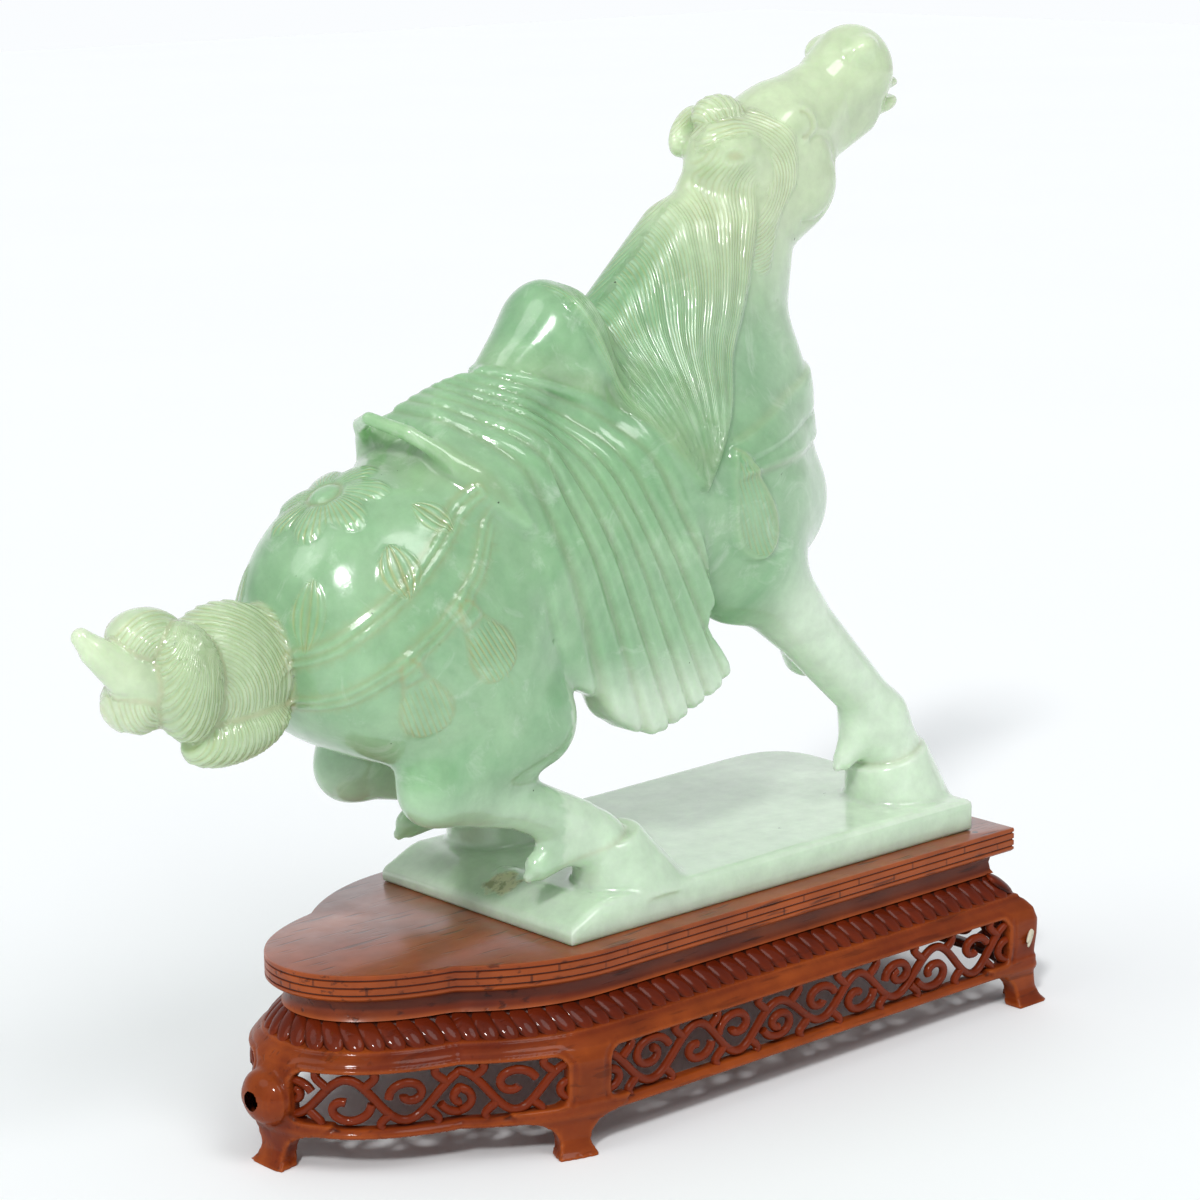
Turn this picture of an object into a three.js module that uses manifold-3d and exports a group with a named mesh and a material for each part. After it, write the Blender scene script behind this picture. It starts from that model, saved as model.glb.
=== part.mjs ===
// Carved jade horse on its slab, standing on a pierced wooden stand.
// Millimetres, +X towards the head, +Z up, the near side of the horse towards -Y.
import * as THREE from 'three';
import { mergeVertices } from 'three/addons/utils/BufferGeometryUtils.js';
import Module from 'manifold-3d';

const wasm = await Module();
wasm.setup();

// Stand
const boardFront = 144.2;
const boardHalf = 41.3;
const straightEnd = 8;
const lobeTip = -56;
const cuspX = -28;
const hubX = -8;
const cuspHalf = 26.8;
const standHeight = 46.1;
const boardEdge = 6.2;
const waistBottom = 34.0;
const seam = 0.3;
const apronBulge = 5.2;
const apronWall = 4.7;
const openTop = 24.2;
const openBottom = 9.6;
const vineWidth = 1.9;
const vineDepth = 2.6;
const vinePitch = 24;
const gadroonWidth = 8;

// Slab under the hooves
const slabLength = 135;
const slabHalf = 35.4;
const slabThick = 8.3;
const slabRearThick = 3.4;
const slabBevel = 12;

// Saddle cloth
const foldPitch = 8.2;
const foldLean = 0.36;
const foldDepth = 1.6;

// Mesh of the figure
const cell = 1.9;
const figureFaces = 5300;
const baseFaces = 4300;

const slabTop = standHeight + slabThick;
const hoofFloor = slabTop - 1.5;

// Smooth joins of distance fields

function join(a, b, k) {
  const h = Math.max(k - Math.abs(a - b), 0) / k;
  return Math.min(a, b) - h * h * k * 0.25;
}

function meet(a, b, k) {
  return -join(-a, -b, k);
}

function ramp(a, b, v) {
  const t = Math.min(Math.max((v - a) / (b - a), 0), 1);
  return t * t * (3 - 2 * t);
}

// An ellipsoid with its centre, half sizes, pitch (nose up) and yaw in degrees
function egg(centre, half, pitch = 0, yaw = 0) {
  const p = THREE.MathUtils.degToRad(pitch);
  const w = THREE.MathUtils.degToRad(yaw);
  const [cp, sp, cw, sw] = [Math.cos(p), Math.sin(p), Math.cos(w), Math.sin(w)];
  return (px, py, pz) => {
    const ax = px - centre[0];
    const ay = py - centre[1];
    const az = pz - centre[2];
    const bx = ax * cw + ay * sw;
    const y = ay * cw - ax * sw;
    const x = bx * cp + az * sp;
    const z = az * cp - bx * sp;
    const k0 = Math.hypot(x / half[0], y / half[1], z / half[2]) + 1e-6;
    const k1 = Math.hypot(x / half[0] ** 2, y / half[1] ** 2, z / half[2] ** 2) + 1e-6;
    return k0 * (k0 - 1) / k1;
  };
}

// A chain of round cones through [x, y, z, radius] stations, narrowed sideways by flat
function limb(stations, flat = 1) {
  const pts = stations.map(([x, y, z, r]) => [x, y / flat, z, r]);
  return (x, py, z) => {
    const y = py / flat;
    let best = 1e9;
    for (let i = 0; i + 1 < pts.length; i++) {
      const [a, b] = [pts[i], pts[i + 1]];
      const [ex, ey, ez] = [b[0] - a[0], b[1] - a[1], b[2] - a[2]];
      const [qx, qy, qz] = [x - a[0], y - a[1], z - a[2]];
      const t = (qx * ex + qy * ey + qz * ez) / (ex * ex + ey * ey + ez * ez);
      const h = Math.min(Math.max(t, 0), 1);
      const gap = Math.hypot(qx - h * ex, qy - h * ey, qz - h * ez);
      best = Math.min(best, gap - (a[3] + (b[3] - a[3]) * h));
    }
    return best * Math.min(1, flat);
  };
}

// Signed distance from (u, v) to a closed outline
function outlineDistance(outline, u, v) {
  let best = 1e9;
  let inside = false;
  for (let i = 0, j = outline.length - 1; i < outline.length; j = i++) {
    const [ax, ay] = outline[j];
    const [bx, by] = outline[i];
    const [ex, ey] = [bx - ax, by - ay];
    const t = ((u - ax) * ex + (v - ay) * ey) / (ex * ex + ey * ey);
    const h = Math.min(Math.max(t, 0), 1);
    best = Math.min(best, Math.hypot(u - ax - ex * h, v - ay - ey * h));
    if ((ay <= v) !== (by <= v) && u < ax + ex * (v - ay) / ey) inside = !inside;
  }
  return inside ? -best : best;
}

// Distance from (u, v) to an open line
function lineDistance(line, u, v) {
  let best = 1e9;
  for (let i = 0; i + 1 < line.length; i++) {
    const [ex, ey] = [line[i + 1][0] - line[i][0], line[i + 1][1] - line[i][1]];
    const t = ((u - line[i][0]) * ex + (v - line[i][1]) * ey) / (ex * ex + ey * ey);
    const h = Math.min(Math.max(t, 0), 1);
    best = Math.min(best, Math.hypot(u - line[i][0] - ex * h, v - line[i][1] - ey * h));
  }
  return best;
}

function smoothLine(points, closed, steps) {
  const curve = new THREE.CatmullRomCurve3(points.map(([x, z]) => new THREE.Vector3(x, z, 0)), closed);
  return curve.getPoints(steps).slice(0, closed ? -1 : undefined).map((p) => [p.x, p.y]);
}

// Outlines in the side view: the saddle cloth, and the two edges of the mane
const clothRear = [[-19, 160], [-1.5, 142], [0.5, 122], [8, 106]];
const clothHem = [[14.4, 101], [22, 93.6], [33, 88.5], [46, 92.4], [58, 99.6]];
const clothFront = [[51, 111.8], [53.3, 120], [46.7, 140], [33, 170], [0, 176]];
const cloth = smoothLine([...clothRear, ...clothHem, ...clothFront], true, 40);
const maneRear = [[22, 192], [34.5, 167], [53.5, 144]];
const maneFront = [[84, 212], [74, 194], [72, 176], [56, 145]];
const mane = [[20, 196], ...maneRear, ...maneFront.slice().reverse(), [80, 224], [60, 226]];

// The figure: [blend, form] joined in order; twin forms repeat on the far side
const once = (blend, form) => ({ blend, form, twin: false });
const twin = (blend, form) => ({ blend, form, twin: true });
const trunk = [
  once(0.1, limb([[-12, 0, 122, 30], [18, 0, 134, 29], [55, 0, 146, 30], [76, 0, 138, 26]], 0.93)),
  once(10, egg([-22.5, 0, 122.5], [34.5, 28.5, 32], 12)),
  twin(8, egg([-26, -13, 113], [27, 16, 21], -12)),
  once(8, egg([84, 0, 134], [20.5, 21, 19])),
];
const hindLegs = [
  twin(8, egg([-9, -19, 104], [21, 13, 21], -20)),
  once(7, limb([[0, -22, 97, 11], [-27, -21, 87, 8]], 0.9)),
  once(7, limb([[0, 22, 97, 11], [-19, 20, 84, 8]], 0.9)),
  once(4, limb([[-28, -21, 85.5, 7.5], [-5, -22.5, 79, 6.2], [13, -23, 70, 6], [18, -23, 65.5, 6.5]], 0.9)),
  once(4, limb([[-21, 20, 82, 7.5], [-2, 22, 76, 6.2], [13, 23, 69.5, 6], [18, 23, 65.5, 6.5]], 0.9)),
  twin(3, limb([[18, -23, 65, 6.5], [23, -23.4, 60, 7]])),
  twin(4, limb([[9, -23, 66, 5], [0, -24, 63, 3.5], [-3, -24, 61, 1.5]], 0.8)),
];
const foreLegs = [
  twin(8, egg([69, -17, 136], [19, 11, 28])),
  once(6, limb([[73, -17, 122, 12], [90, -18, 102, 9], [108.5, -18, 83, 7.8], [116, -18, 75, 8.6]], 0.95)),
  once(3, limb([[116, -18, 75, 8.6], [121, -18, 66, 8.8]])),
  once(4, limb([[112, -18, 73, 6], [106, -18, 67, 3], [104, -18, 65.5, 1.5]], 0.8)),
  once(6, limb([[76, 14, 124, 12], [110, 15, 109, 7]], 0.95)),
  once(3, limb([[110, 15, 108, 6.6], [121, 15, 92, 5]], 0.95)),
  once(3, limb([[121, 15, 92, 5.2], [126, 15, 86, 6.8]])),
];
const neckAndHead = [
  once(8, limb([[65, 0, 162, 33], [86, 0, 203, 19]], 0.58)),
  once(6, egg([104, 0, 211], [13, 11.5, 13])),
  once(6, egg([95, 0, 220], [17, 12, 13], 30)),
  once(4, limb([[104, 0, 224, 12], [117, 0, 231, 10.3], [125.5, 0, 234, 10.6]], 0.85)),
  twin(1.5, egg([97, -11, 225.5], [4.2, 2.6, 3.2], 20)),
  twin(2, egg([126, -7.5, 241], [4.5, 3, 3], 20)),
  once(1.5, egg([80, 9, 223.5], [8, 2.8, 4], 15, 25)),
  once(1.5, egg([82, -11, 222.5], [8.5, 2.6, 5], 55)),
  once(2, egg([82, 0, 228], [6, 6, 5], 10)),
];
const saddle = [
  once(4, egg([29, 0, 167.5], [11, 17, 26], 8)),
  once(4, limb([[26, 0, 182, 10], [11, 0, 167, 10]], 1.15)),
  once(5, egg([4, 0, 151], [19, 25, 20], 25)),
  twin(3, limb([[-24.5, 0, 165, 3.2], [-21, -9, 163, 3.1], [-12, -21, 154, 3], [-1, -27, 142, 2.6]])),
];
const tail = [
  once(2, egg([-63, 0, 116.5], [15.5, 13, 16])),
  once(1, egg([-82, -3, 115], [9, 10, 14.5], 12)),
  once(1, egg([-86.5, 2, 127], [10, 8, 7.6])),
  once(1, egg([-91, 2, 112.5], [8.2, 9, 7.8])),
  once(1, limb([[-80, -3, 103, 4], [-68, -5, 102, 6.3], [-58, -2, 104, 5]])),
  once(1, limb([[-88, -2, 119.5, 5.2], [-97, -1, 122, 4.6], [-103, 0, 128, 3], [-105, 0, 130.5, 2]])),
];
const hindHoof = limb([[20.5, -23.4, 65, 6], [27.5, -23.4, 50.5, 14]], 0.95);
const foreHoof = limb([[119, -18, 69, 8.6], [125, -18, 52, 14]], 0.95);
const mouth = egg([137, 0, 232.3], [8, 14, 0.9], 8);

// Folds of the cloth hang in a fan from the seat: whole numbers lie in the valleys
function foldNumber(x, z) {
  return (x - 4 - foldLean * (145 - z)) / (foldPitch + 0.02 * (145 - z));
}

function clothShell(x, side, z) {
  const middle = 23 - 0.013 * Math.max(z - 128, 0) ** 2;
  return meet(outlineDistance(cloth, x, z), Math.abs(side - middle) - 6.2, 3);
}

// Relief on the joined forms: folds, locks of the mane, breast band and tail locks
function relief(x, y, z) {
  let lift = 0;
  const inCloth = z < 164 ? ramp(1, -3, outlineDistance(cloth, x, z)) * ramp(164, 150, z) : 0;
  if (inCloth > 0) lift -= foldDepth * inCloth * (0.5 + 0.5 * Math.cos(2 * Math.PI * foldNumber(x, z)));
  if (y < -3 && x > 15 && z > 140) {
    const edge = ramp(1, -1.5, outlineDistance(mane, x, z)) * ramp(-3, -9, y);
    const rear = lineDistance(maneRear, x, z);
    const across = rear / (rear + lineDistance(maneFront, x, z) + 1e-6);
    lift += edge * (2.2 - 0.9 * (0.5 + 0.5 * Math.cos(2 * Math.PI * 5 * across)));
  }
  const band = 151 + (x - 62) * 0.19;
  lift += 1.3 * ramp(5.6, 4.4, Math.abs(z - band)) * ramp(56, 62, x);
  if (x < -48 && z > 92) {
    const turn = Math.atan2(z - 113, x + 72);
    const reach = Math.hypot(z - 113, x + 72);
    lift -= 0.6 * ramp(8, 13, reach) * ramp(33, 28, reach) * (0.5 + 0.5 * Math.cos(18 * turn + y * 0.12));
  }
  return lift;
}

function figure(x, y, z) {
  const near = -Math.abs(y);
  let d = 1e9;
  for (const group of [trunk, hindLegs, foreLegs, neckAndHead, saddle, tail]) {
    for (const { blend, form, twin: pair } of group) d = join(d, form(x, pair ? near : y, z), blend);
  }
  d = join(d, meet(hindHoof(x, near, z), hoofFloor - z, 1), 1.5);
  d = join(d, meet(foreHoof(x, y, z), hoofFloor - z, 1), 1.5);
  d = meet(d, -mouth(x, y, z), 0.6);
  d = join(d, clothShell(x, Math.abs(y), z), 3);
  return d - relief(x, y, z);
}

// Marching tetrahedra over a grid: a closed mesh of the zero level

function marchField(field, low, high, step) {
  const n = low.map((v, i) => Math.ceil((high[i] - v) / step) + 1);
  const at = (i, j, k) => (i * n[1] + j) * n[2] + k;
  const value = new Float32Array(n[0] * n[1] * n[2]);
  for (let i = 0; i < n[0]; i++) {
    for (let j = 0; j < n[1]; j++) {
      for (let k = 0; k < n[2]; k++) {
        const v = field(low[0] + i * step, low[1] + j * step, low[2] + k * step);
        value[at(i, j, k)] = Math.abs(v) < 1e-4 ? 1e-4 : v;
        // a distance tells how many samples ahead lie outside
        const skip = Math.min(Math.floor(v / (step * 2.2)) - 1, n[2] - 1 - k);
        for (let s = 0; s < skip; s++) value[at(i, j, ++k)] = v * 0.5;
      }
    }
  }
  const corners = [[0, 0, 0], [1, 0, 0], [1, 1, 0], [0, 1, 0], [0, 0, 1], [1, 0, 1], [1, 1, 1], [0, 1, 1]];
  const tets = [[0, 5, 1, 6], [0, 1, 2, 6], [0, 2, 3, 6], [0, 3, 7, 6], [0, 7, 4, 6], [0, 4, 5, 6]];
  const positions = [];
  const faces = [];
  const made = new Map();
  const total = value.length;
  const cut = (a, b) => {
    const key = Math.min(a, b) * total + Math.max(a, b);
    if (made.has(key)) return made.get(key);
    const t = value[a] / (value[a] - value[b]);
    const p = [a, b].map((c) => [Math.floor(c / (n[1] * n[2])), Math.floor(c / n[2]) % n[1], c % n[2]]);
    for (let m = 0; m < 3; m++) positions.push(low[m] + step * (p[0][m] + t * (p[1][m] - p[0][m])));
    made.set(key, positions.length / 3 - 1);
    return positions.length / 3 - 1;
  };
  for (let i = 0; i + 1 < n[0]; i++) {
    for (let j = 0; j + 1 < n[1]; j++) {
      for (let k = 0; k + 1 < n[2]; k++) {
        const id = corners.map(([a, b, c]) => at(i + a, j + b, k + c));
        const within = id.filter((c) => value[c] < 0).length;
        if (within === 0 || within === 8) continue;
        for (const tet of tets) {
          const v = tet.map((c) => id[c]);
          const inner = v.filter((c) => value[c] < 0);
          const outer = v.filter((c) => value[c] >= 0);
          if (inner.length === 0 || outer.length === 0) continue;
          const even = evenOrder(v, [...inner, ...outer]);
          const put = (a, b, c) => faces.push(...(even ? [a, c, b] : [a, b, c]));
          if (inner.length === 1) {
            put(cut(inner[0], outer[0]), cut(inner[0], outer[2]), cut(inner[0], outer[1]));
          } else if (inner.length === 3) {
            put(cut(inner[0], outer[0]), cut(inner[2], outer[0]), cut(inner[1], outer[0]));
          } else {
            const ring = [
              cut(inner[0], outer[0]), cut(inner[0], outer[1]),
              cut(inner[1], outer[1]), cut(inner[1], outer[0]),
            ];
            put(ring[0], ring[2], ring[1]);
            put(ring[0], ring[3], ring[2]);
          }
        }
      }
    }
  }
  return { positions: Float64Array.from(positions), faces: Uint32Array.from(faces) };
}

function evenOrder(from, to) {
  let swaps = 0;
  const order = to.map((v) => from.indexOf(v));
  for (let i = 0; i < 4; i++) {
    for (let j = i + 1; j < 4; j++) if (order[i] > order[j]) swaps++;
  }
  return swaps % 2 === 0;
}

// Edge collapse by the quadric error, which keeps the mesh closed

function thin(mesh, target) {
  const p = mesh.positions;
  const f = mesh.faces;
  const count = p.length / 3;
  const quadric = new Float64Array(count * 10);
  const around = Array.from({ length: count }, () => new Set());
  const alive = new Uint8Array(f.length / 3).fill(1);
  const stamp = new Uint32Array(count);
  const normalOf = (a, b, c) => {
    const [ux, uy, uz] = [b[0] - a[0], b[1] - a[1], b[2] - a[2]];
    const [vx, vy, vz] = [c[0] - a[0], c[1] - a[1], c[2] - a[2]];
    return [uy * vz - uz * vy, uz * vx - ux * vz, ux * vy - uy * vx];
  };
  const point = (v) => [p[3 * v], p[3 * v + 1], p[3 * v + 2]];
  for (let t = 0; t < alive.length; t++) {
    const [a, b, c] = [f[3 * t], f[3 * t + 1], f[3 * t + 2]];
    const nrm = normalOf(point(a), point(b), point(c));
    const size = Math.hypot(...nrm) + 1e-12;
    const [x, y, z] = nrm.map((v) => v / size);
    const w = -(x * p[3 * a] + y * p[3 * a + 1] + z * p[3 * a + 2]);
    const q = [x * x, x * y, x * z, x * w, y * y, y * z, y * w, z * z, z * w, w * w];
    for (const v of [a, b, c]) {
      around[v].add(t);
      for (let m = 0; m < 10; m++) quadric[10 * v + m] += q[m] * size;
    }
  }
  const errorAt = (q, [x, y, z]) => q[0] * x * x + 2 * q[1] * x * y + 2 * q[2] * x * z + 2 * q[3] * x
    + q[4] * y * y + 2 * q[5] * y * z + 2 * q[6] * y + q[7] * z * z + 2 * q[8] * z + q[9];
  const best = (a, b) => {
    const q = Array.from({ length: 10 }, (_, m) => quadric[10 * a + m] + quadric[10 * b + m]);
    const [pa, pb] = [point(a), point(b)];
    const middle = pa.map((v, m) => (v + pb[m]) / 2);
    const trials = [pa, pb, middle];
    const solved = new THREE.Matrix3().set(q[0], q[1], q[2], q[1], q[4], q[5], q[2], q[5], q[7]);
    if (Math.abs(solved.determinant()) > 1e-3) {
      const v = new THREE.Vector3(-q[3], -q[6], -q[8]).applyMatrix3(solved.invert());
      if (Math.hypot(v.x - middle[0], v.y - middle[1], v.z - middle[2]) < 4) trials.push([v.x, v.y, v.z]);
    }
    const length = Math.hypot(pa[0] - pb[0], pa[1] - pb[1], pa[2] - pb[2]);
    const costs = trials.map((v) => errorAt(q, v) + 1e-4 * length);
    const pick = costs.indexOf(Math.min(...costs));
    return { cost: costs[pick], place: trials[pick] };
  };
  const heap = [];
  const push = (entry) => {
    let i = heap.push(entry) - 1;
    while (i > 0) {
      const up = (i - 1) >> 1;
      if (heap[up].cost <= heap[i].cost) break;
      [heap[up], heap[i]] = [heap[i], heap[up]];
      i = up;
    }
  };
  const pop = () => {
    const top = heap[0];
    const last = heap.pop();
    if (heap.length === 0) return top;
    heap[0] = last;
    for (let i = 0; ;) {
      const [l, r] = [2 * i + 1, 2 * i + 2];
      let low = i;
      if (l < heap.length && heap[l].cost < heap[low].cost) low = l;
      if (r < heap.length && heap[r].cost < heap[low].cost) low = r;
      if (low === i) break;
      [heap[low], heap[i]] = [heap[i], heap[low]];
      i = low;
    }
    return top;
  };
  const neighbours = (v) => {
    const out = new Set();
    for (const t of around[v]) for (let m = 0; m < 3; m++) out.add(f[3 * t + m]);
    out.delete(v);
    return out;
  };
  const offer = (a, b) => push({ ...best(a, b), a, b, sa: stamp[a], sb: stamp[b] });
  for (let v = 0; v < count; v++) for (const w of neighbours(v)) if (w > v) offer(v, w);
  const turns = (v, other, place) => {
    for (const t of around[v]) {
      const ids = [f[3 * t], f[3 * t + 1], f[3 * t + 2]];
      if (ids.includes(other)) continue;
      const before = normalOf(...ids.map(point));
      const after = normalOf(...ids.map((c) => (c === v ? place : point(c))));
      const [was, now] = [Math.hypot(...before), Math.hypot(...after)];
      const dot = before[0] * after[0] + before[1] * after[1] + before[2] * after[2];
      if (now < 0.004 && now < was) return true;
      if (was > 0.004 && dot <= 0.3 * was * now) return true;
    }
    return false;
  };
  let left = alive.length;
  while (left > target && heap.length > 0) {
    const { a, b, sa, sb, place } = pop();
    if (stamp[a] !== sa || stamp[b] !== sb || around[a].size === 0 || around[b].size === 0) continue;
    const ringA = neighbours(a);
    if (!ringA.has(b)) continue;
    const shared = [...neighbours(b)].filter((v) => ringA.has(v)).length;
    if (shared !== 2 || turns(a, b, place) || turns(b, a, place)) continue;
    p.set(place, 3 * a);
    for (let m = 0; m < 10; m++) quadric[10 * a + m] += quadric[10 * b + m];
    for (const t of around[b]) {
      const ids = [f[3 * t], f[3 * t + 1], f[3 * t + 2]];
      if (ids.includes(a)) {
        alive[t] = 0;
        left--;
        for (const v of ids) if (v !== b) around[v].delete(t);
      } else {
        f[3 * t + ids.indexOf(b)] = a;
        around[a].add(t);
      }
    }
    around[b].clear();
    stamp[a]++;
    stamp[b]++;
    for (const v of neighbours(a)) offer(a, v);
  }
  const kept = [];
  for (let t = 0; t < alive.length; t++) if (alive[t]) kept.push(f[3 * t], f[3 * t + 1], f[3 * t + 2]);
  const used = [...new Set(kept)];
  const renumbered = new Map(used.map((v, i) => [v, i]));
  return indexed(used.flatMap(point), kept.map((v) => renumbered.get(v)));
}

// Solids and geometries

function indexed(positions, index) {
  const geometry = new THREE.BufferGeometry();
  geometry.setAttribute('position', new THREE.BufferAttribute(Float32Array.from(positions), 3));
  geometry.setIndex(index);
  return geometry;
}

function solid(geometry) {
  const bare = geometry.clone();
  for (const name of Object.keys(bare.attributes)) if (name !== 'position') bare.deleteAttribute(name);
  const merged = mergeVertices(bare, 1e-4);
  return new wasm.Manifold(new wasm.Mesh({
    numProp: 3,
    vertProperties: Float32Array.from(merged.attributes.position.array),
    triVerts: Uint32Array.from(merged.index.array),
  }));
}

function geometryOf(body) {
  const mesh = body.getMesh();
  return indexed(Array.from(mesh.vertProperties), Array.from(mesh.triVerts));
}

// The same body with fewer faces and no tiny edges
function lighter(body, faces) {
  const mesh = body.getMesh();
  const positions = Float64Array.from(mesh.vertProperties);
  return thin({ positions, faces: Uint32Array.from(mesh.triVerts) }, faces);
}

// Slab: level on top, falling to a thin rear edge, its far front corner rounded off
function makeSlab() {
  const shape = new THREE.Shape();
  shape.moveTo(0, -slabHalf);
  shape.lineTo(slabLength, -slabHalf);
  shape.lineTo(slabLength, 4);
  shape.bezierCurveTo(slabLength + 4, 24, slabLength + 5, slabHalf + 4, slabLength - 20, slabHalf + 1.8);
  shape.lineTo(70, slabHalf);
  shape.lineTo(0, slabHalf);
  const plate = new THREE.ExtrudeGeometry(shape, { depth: slabThick, bevelEnabled: false, curveSegments: 8 });
  const body = solid(plate);
  const wedge = new THREE.Shape();
  wedge.moveTo(-5, slabRearThick);
  wedge.lineTo(0, slabRearThick);
  wedge.quadraticCurveTo(slabBevel * 0.5, slabThick - 0.6, slabBevel, slabThick);
  wedge.lineTo(slabBevel, slabThick + 5);
  wedge.lineTo(-5, slabThick + 5);
  const wedgeDepth = { depth: 4 * slabHalf, bevelEnabled: false, curveSegments: 5 };
  const cutter = new THREE.ExtrudeGeometry(wedge, wedgeDepth);
  cutter.rotateX(Math.PI / 2);
  cutter.translate(0, 2 * slabHalf, 0);
  const slab = geometryOf(body.subtract(solid(cutter)));
  slab.translate(0, 0, standHeight);
  return slab;
}

function makeHorse() {
  const coarse = marchField(figure, [-110, -38, slabTop - 4], [145, 38, 250], cell);
  return lighter(solid(thin(coarse, figureFaces + 200)).add(solid(makeSlab())), figureFaces);
}

// Plan outline of the stand: arc length runs from the middle of the front end, along the
// near side to the tip of the rear lobe, and back along the far side
const rearCurve = new THREE.Path();
rearCurve.moveTo(straightEnd, -boardHalf);
rearCurve.bezierCurveTo(-8, -boardHalf, -20, -34, cuspX, -cuspHalf);
rearCurve.bezierCurveTo(-37, -25, lobeTip, -17, lobeTip, 0);
const rearPoints = rearCurve.getSpacedPoints(600);
const corner = boardHalf;
const bendStart = corner + boardFront - straightEnd;
const halfLength = bendStart + rearCurve.getLength();

function planAt(s) {
  const wrapped = THREE.MathUtils.euclideanModulo(s, 2 * halfLength);
  const far = wrapped > halfLength;
  const along = far ? 2 * halfLength - wrapped : wrapped;
  const side = far ? -1 : 1;
  if (along < corner - 1e-4) return { x: boardFront, y: -side * along, nx: 1, ny: 0 };
  if (along < corner + 1e-4) return { x: boardFront, y: -side * boardHalf, nx: 1, ny: -side };
  if (along < bendStart) return { x: boardFront + corner - along, y: -side * boardHalf, nx: 0, ny: -side };
  const last = rearPoints.length - 1;
  const at = Math.min((along - bendStart) / (halfLength - bendStart), 1) * last;
  const i = Math.min(Math.floor(at), last - 1);
  const point = rearPoints[i].clone().lerp(rearPoints[i + 1], at - i);
  const run = rearPoints[Math.min(i + 9, last)].clone().sub(rearPoints[Math.max(i - 8, 0)]).normalize();
  if (at > last - 1e-3) run.set(0, 1);
  return { x: point.x, y: side * point.y, nx: -run.y, ny: side * run.x };
}

function place(s, out, z) {
  const { x, y, nx, ny } = planAt(s);
  return [x + nx * out, y + ny * out, z];
}

// Arc lengths of one turn round the plan, with a station at each corner
function stations(front, side, rear) {
  const half = [];
  for (let i = 0; i < front; i++) half.push(corner * i / front);
  for (let i = 0; i < side; i++) half.push(corner + (bendStart - corner) * i / side);
  for (let i = 0; i < rear; i++) half.push(bendStart + (halfLength - bendStart) * i / rear);
  return [...half, halfLength, ...half.slice(1).reverse().map((s) => 2 * halfLength - s)];
}

// A closed body from rings of [offset outwards, height] round the whole plan
function ringBody(profile, around, change = () => [0, 0]) {
  const positions = [];
  const index = [];
  const n = around.length;
  profile.forEach(([out, z], r) => {
    around.forEach((s, i) => {
      const [shift, swell] = change(i, r);
      positions.push(...place(s + shift, out + swell, z));
    });
  });
  for (let r = 0; r + 1 < profile.length; r++) {
    for (let i = 0; i < n; i++) {
      const [a, b] = [r * n + i, r * n + (i + 1) % n];
      index.push(a, b, b + n, a, b + n, a + n);
    }
  }
  const last = profile.length - 1;
  const hub = positions.length / 3;
  positions.push(hubX, 0, profile[0][1], hubX, 0, profile[last][1]);
  for (let i = 0; i < n; i++) {
    const j = (i + 1) % n;
    index.push(hub, j, i, hub + 1, last * n + i, last * n + j);
  }
  return indexed(positions, index);
}

// Bend a flat body round the plan: x runs along it, y is the height, z the depth inwards
function bend(geometry, outer) {
  const at = geometry.attributes.position;
  for (let i = 0; i < at.count; i++) at.setXYZ(i, ...place(at.getX(i), outer - at.getZ(i), at.getY(i)));
  return geometry;
}

function makeStandTop() {
  const edge = standHeight - boardEdge;
  const profile = [
    [0, standHeight], [0, standHeight - 1.3], [-0.8, standHeight - 1.7], [-0.8, edge + 2.1], [0, edge + 1.7],
    [0, edge], [-4, edge], [-4.3, waistBottom + 2], [-3.9, waistBottom],
  ];
  return ringBody(profile, stations(1, 1, 12));
}

// A strip of even width along a flat line, as a shape
function strip(line, width) {
  const left = [];
  const right = [];
  line.forEach((p, i) => {
    const run = line[Math.min(i + 1, line.length - 1)].clone().sub(line[Math.max(i - 1, 0)]).normalize();
    const side = new THREE.Vector2(-run.y, run.x).multiplyScalar(width / 2);
    left.push(p.clone().add(side));
    right.unshift(p.clone().sub(side));
  });
  return new THREE.Shape([...left, ...right]);
}

// Curling vines between two ends of an opening: a wavy stem with a volute in every bend,
// joined while flat and then bent round the plan
function vines(from, to, inner) {
  const middle = (openTop + openBottom) / 2;
  const height = (openTop - openBottom) / 2;
  const bends = Math.round((to - from) / vinePitch);
  const pitch = (to - from) / bends;
  const stem = [];
  for (let i = 0; i <= bends * 3; i++) {
    const s = from + i / 3 * pitch;
    stem.push(new THREE.Vector2(s, middle + height * Math.cos(Math.PI * i / 3)));
  }
  const flat = { depth: vineDepth, bevelEnabled: false };
  const prism = (line, width) => solid(new THREE.ExtrudeGeometry(strip(line, width), flat));
  let joined = prism(stem, vineWidth);
  for (let b = 0; b < bends; b++) {
    const flip = b % 2 ? -1 : 1;
    const centre = new THREE.Vector2(from + (b + 0.5) * pitch - 0.5, middle - flip * 0.5);
    const curl = [];
    for (let i = 0; i <= 5; i++) {
      const turn = Math.PI * (0.55 + i * 0.3);
      const reach = (height - 0.8) * (1 - i / 5 * 0.7);
      curl.push(new THREE.Vector2(Math.cos(turn) * reach, flip * Math.sin(turn) * reach).add(centre));
    }
    joined = joined.add(prism(curl, vineWidth * 0.85));
  }
  return bend(geometryOf(joined), inner + vineDepth);
}

function openingShape(from, to, steps) {
  const round = 3;
  const ends = [[from, openBottom + round], [from + round, openBottom]];
  const line = [...ends];
  for (let i = 1; i < steps; i++) line.push([from + (to - from) * i / steps, openBottom]);
  line.push([to - round, openBottom], [to, openBottom + round]);
  line.push([to, openTop - round], [to - round, openTop]);
  for (let i = steps - 1; i > 0; i--) line.push([from + (to - from) * i / steps, openTop]);
  line.push([from + round, openTop], [from, openTop - round]);
  return new THREE.Shape(line.map(([s, z]) => new THREE.Vector2(s, z)));
}

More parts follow.
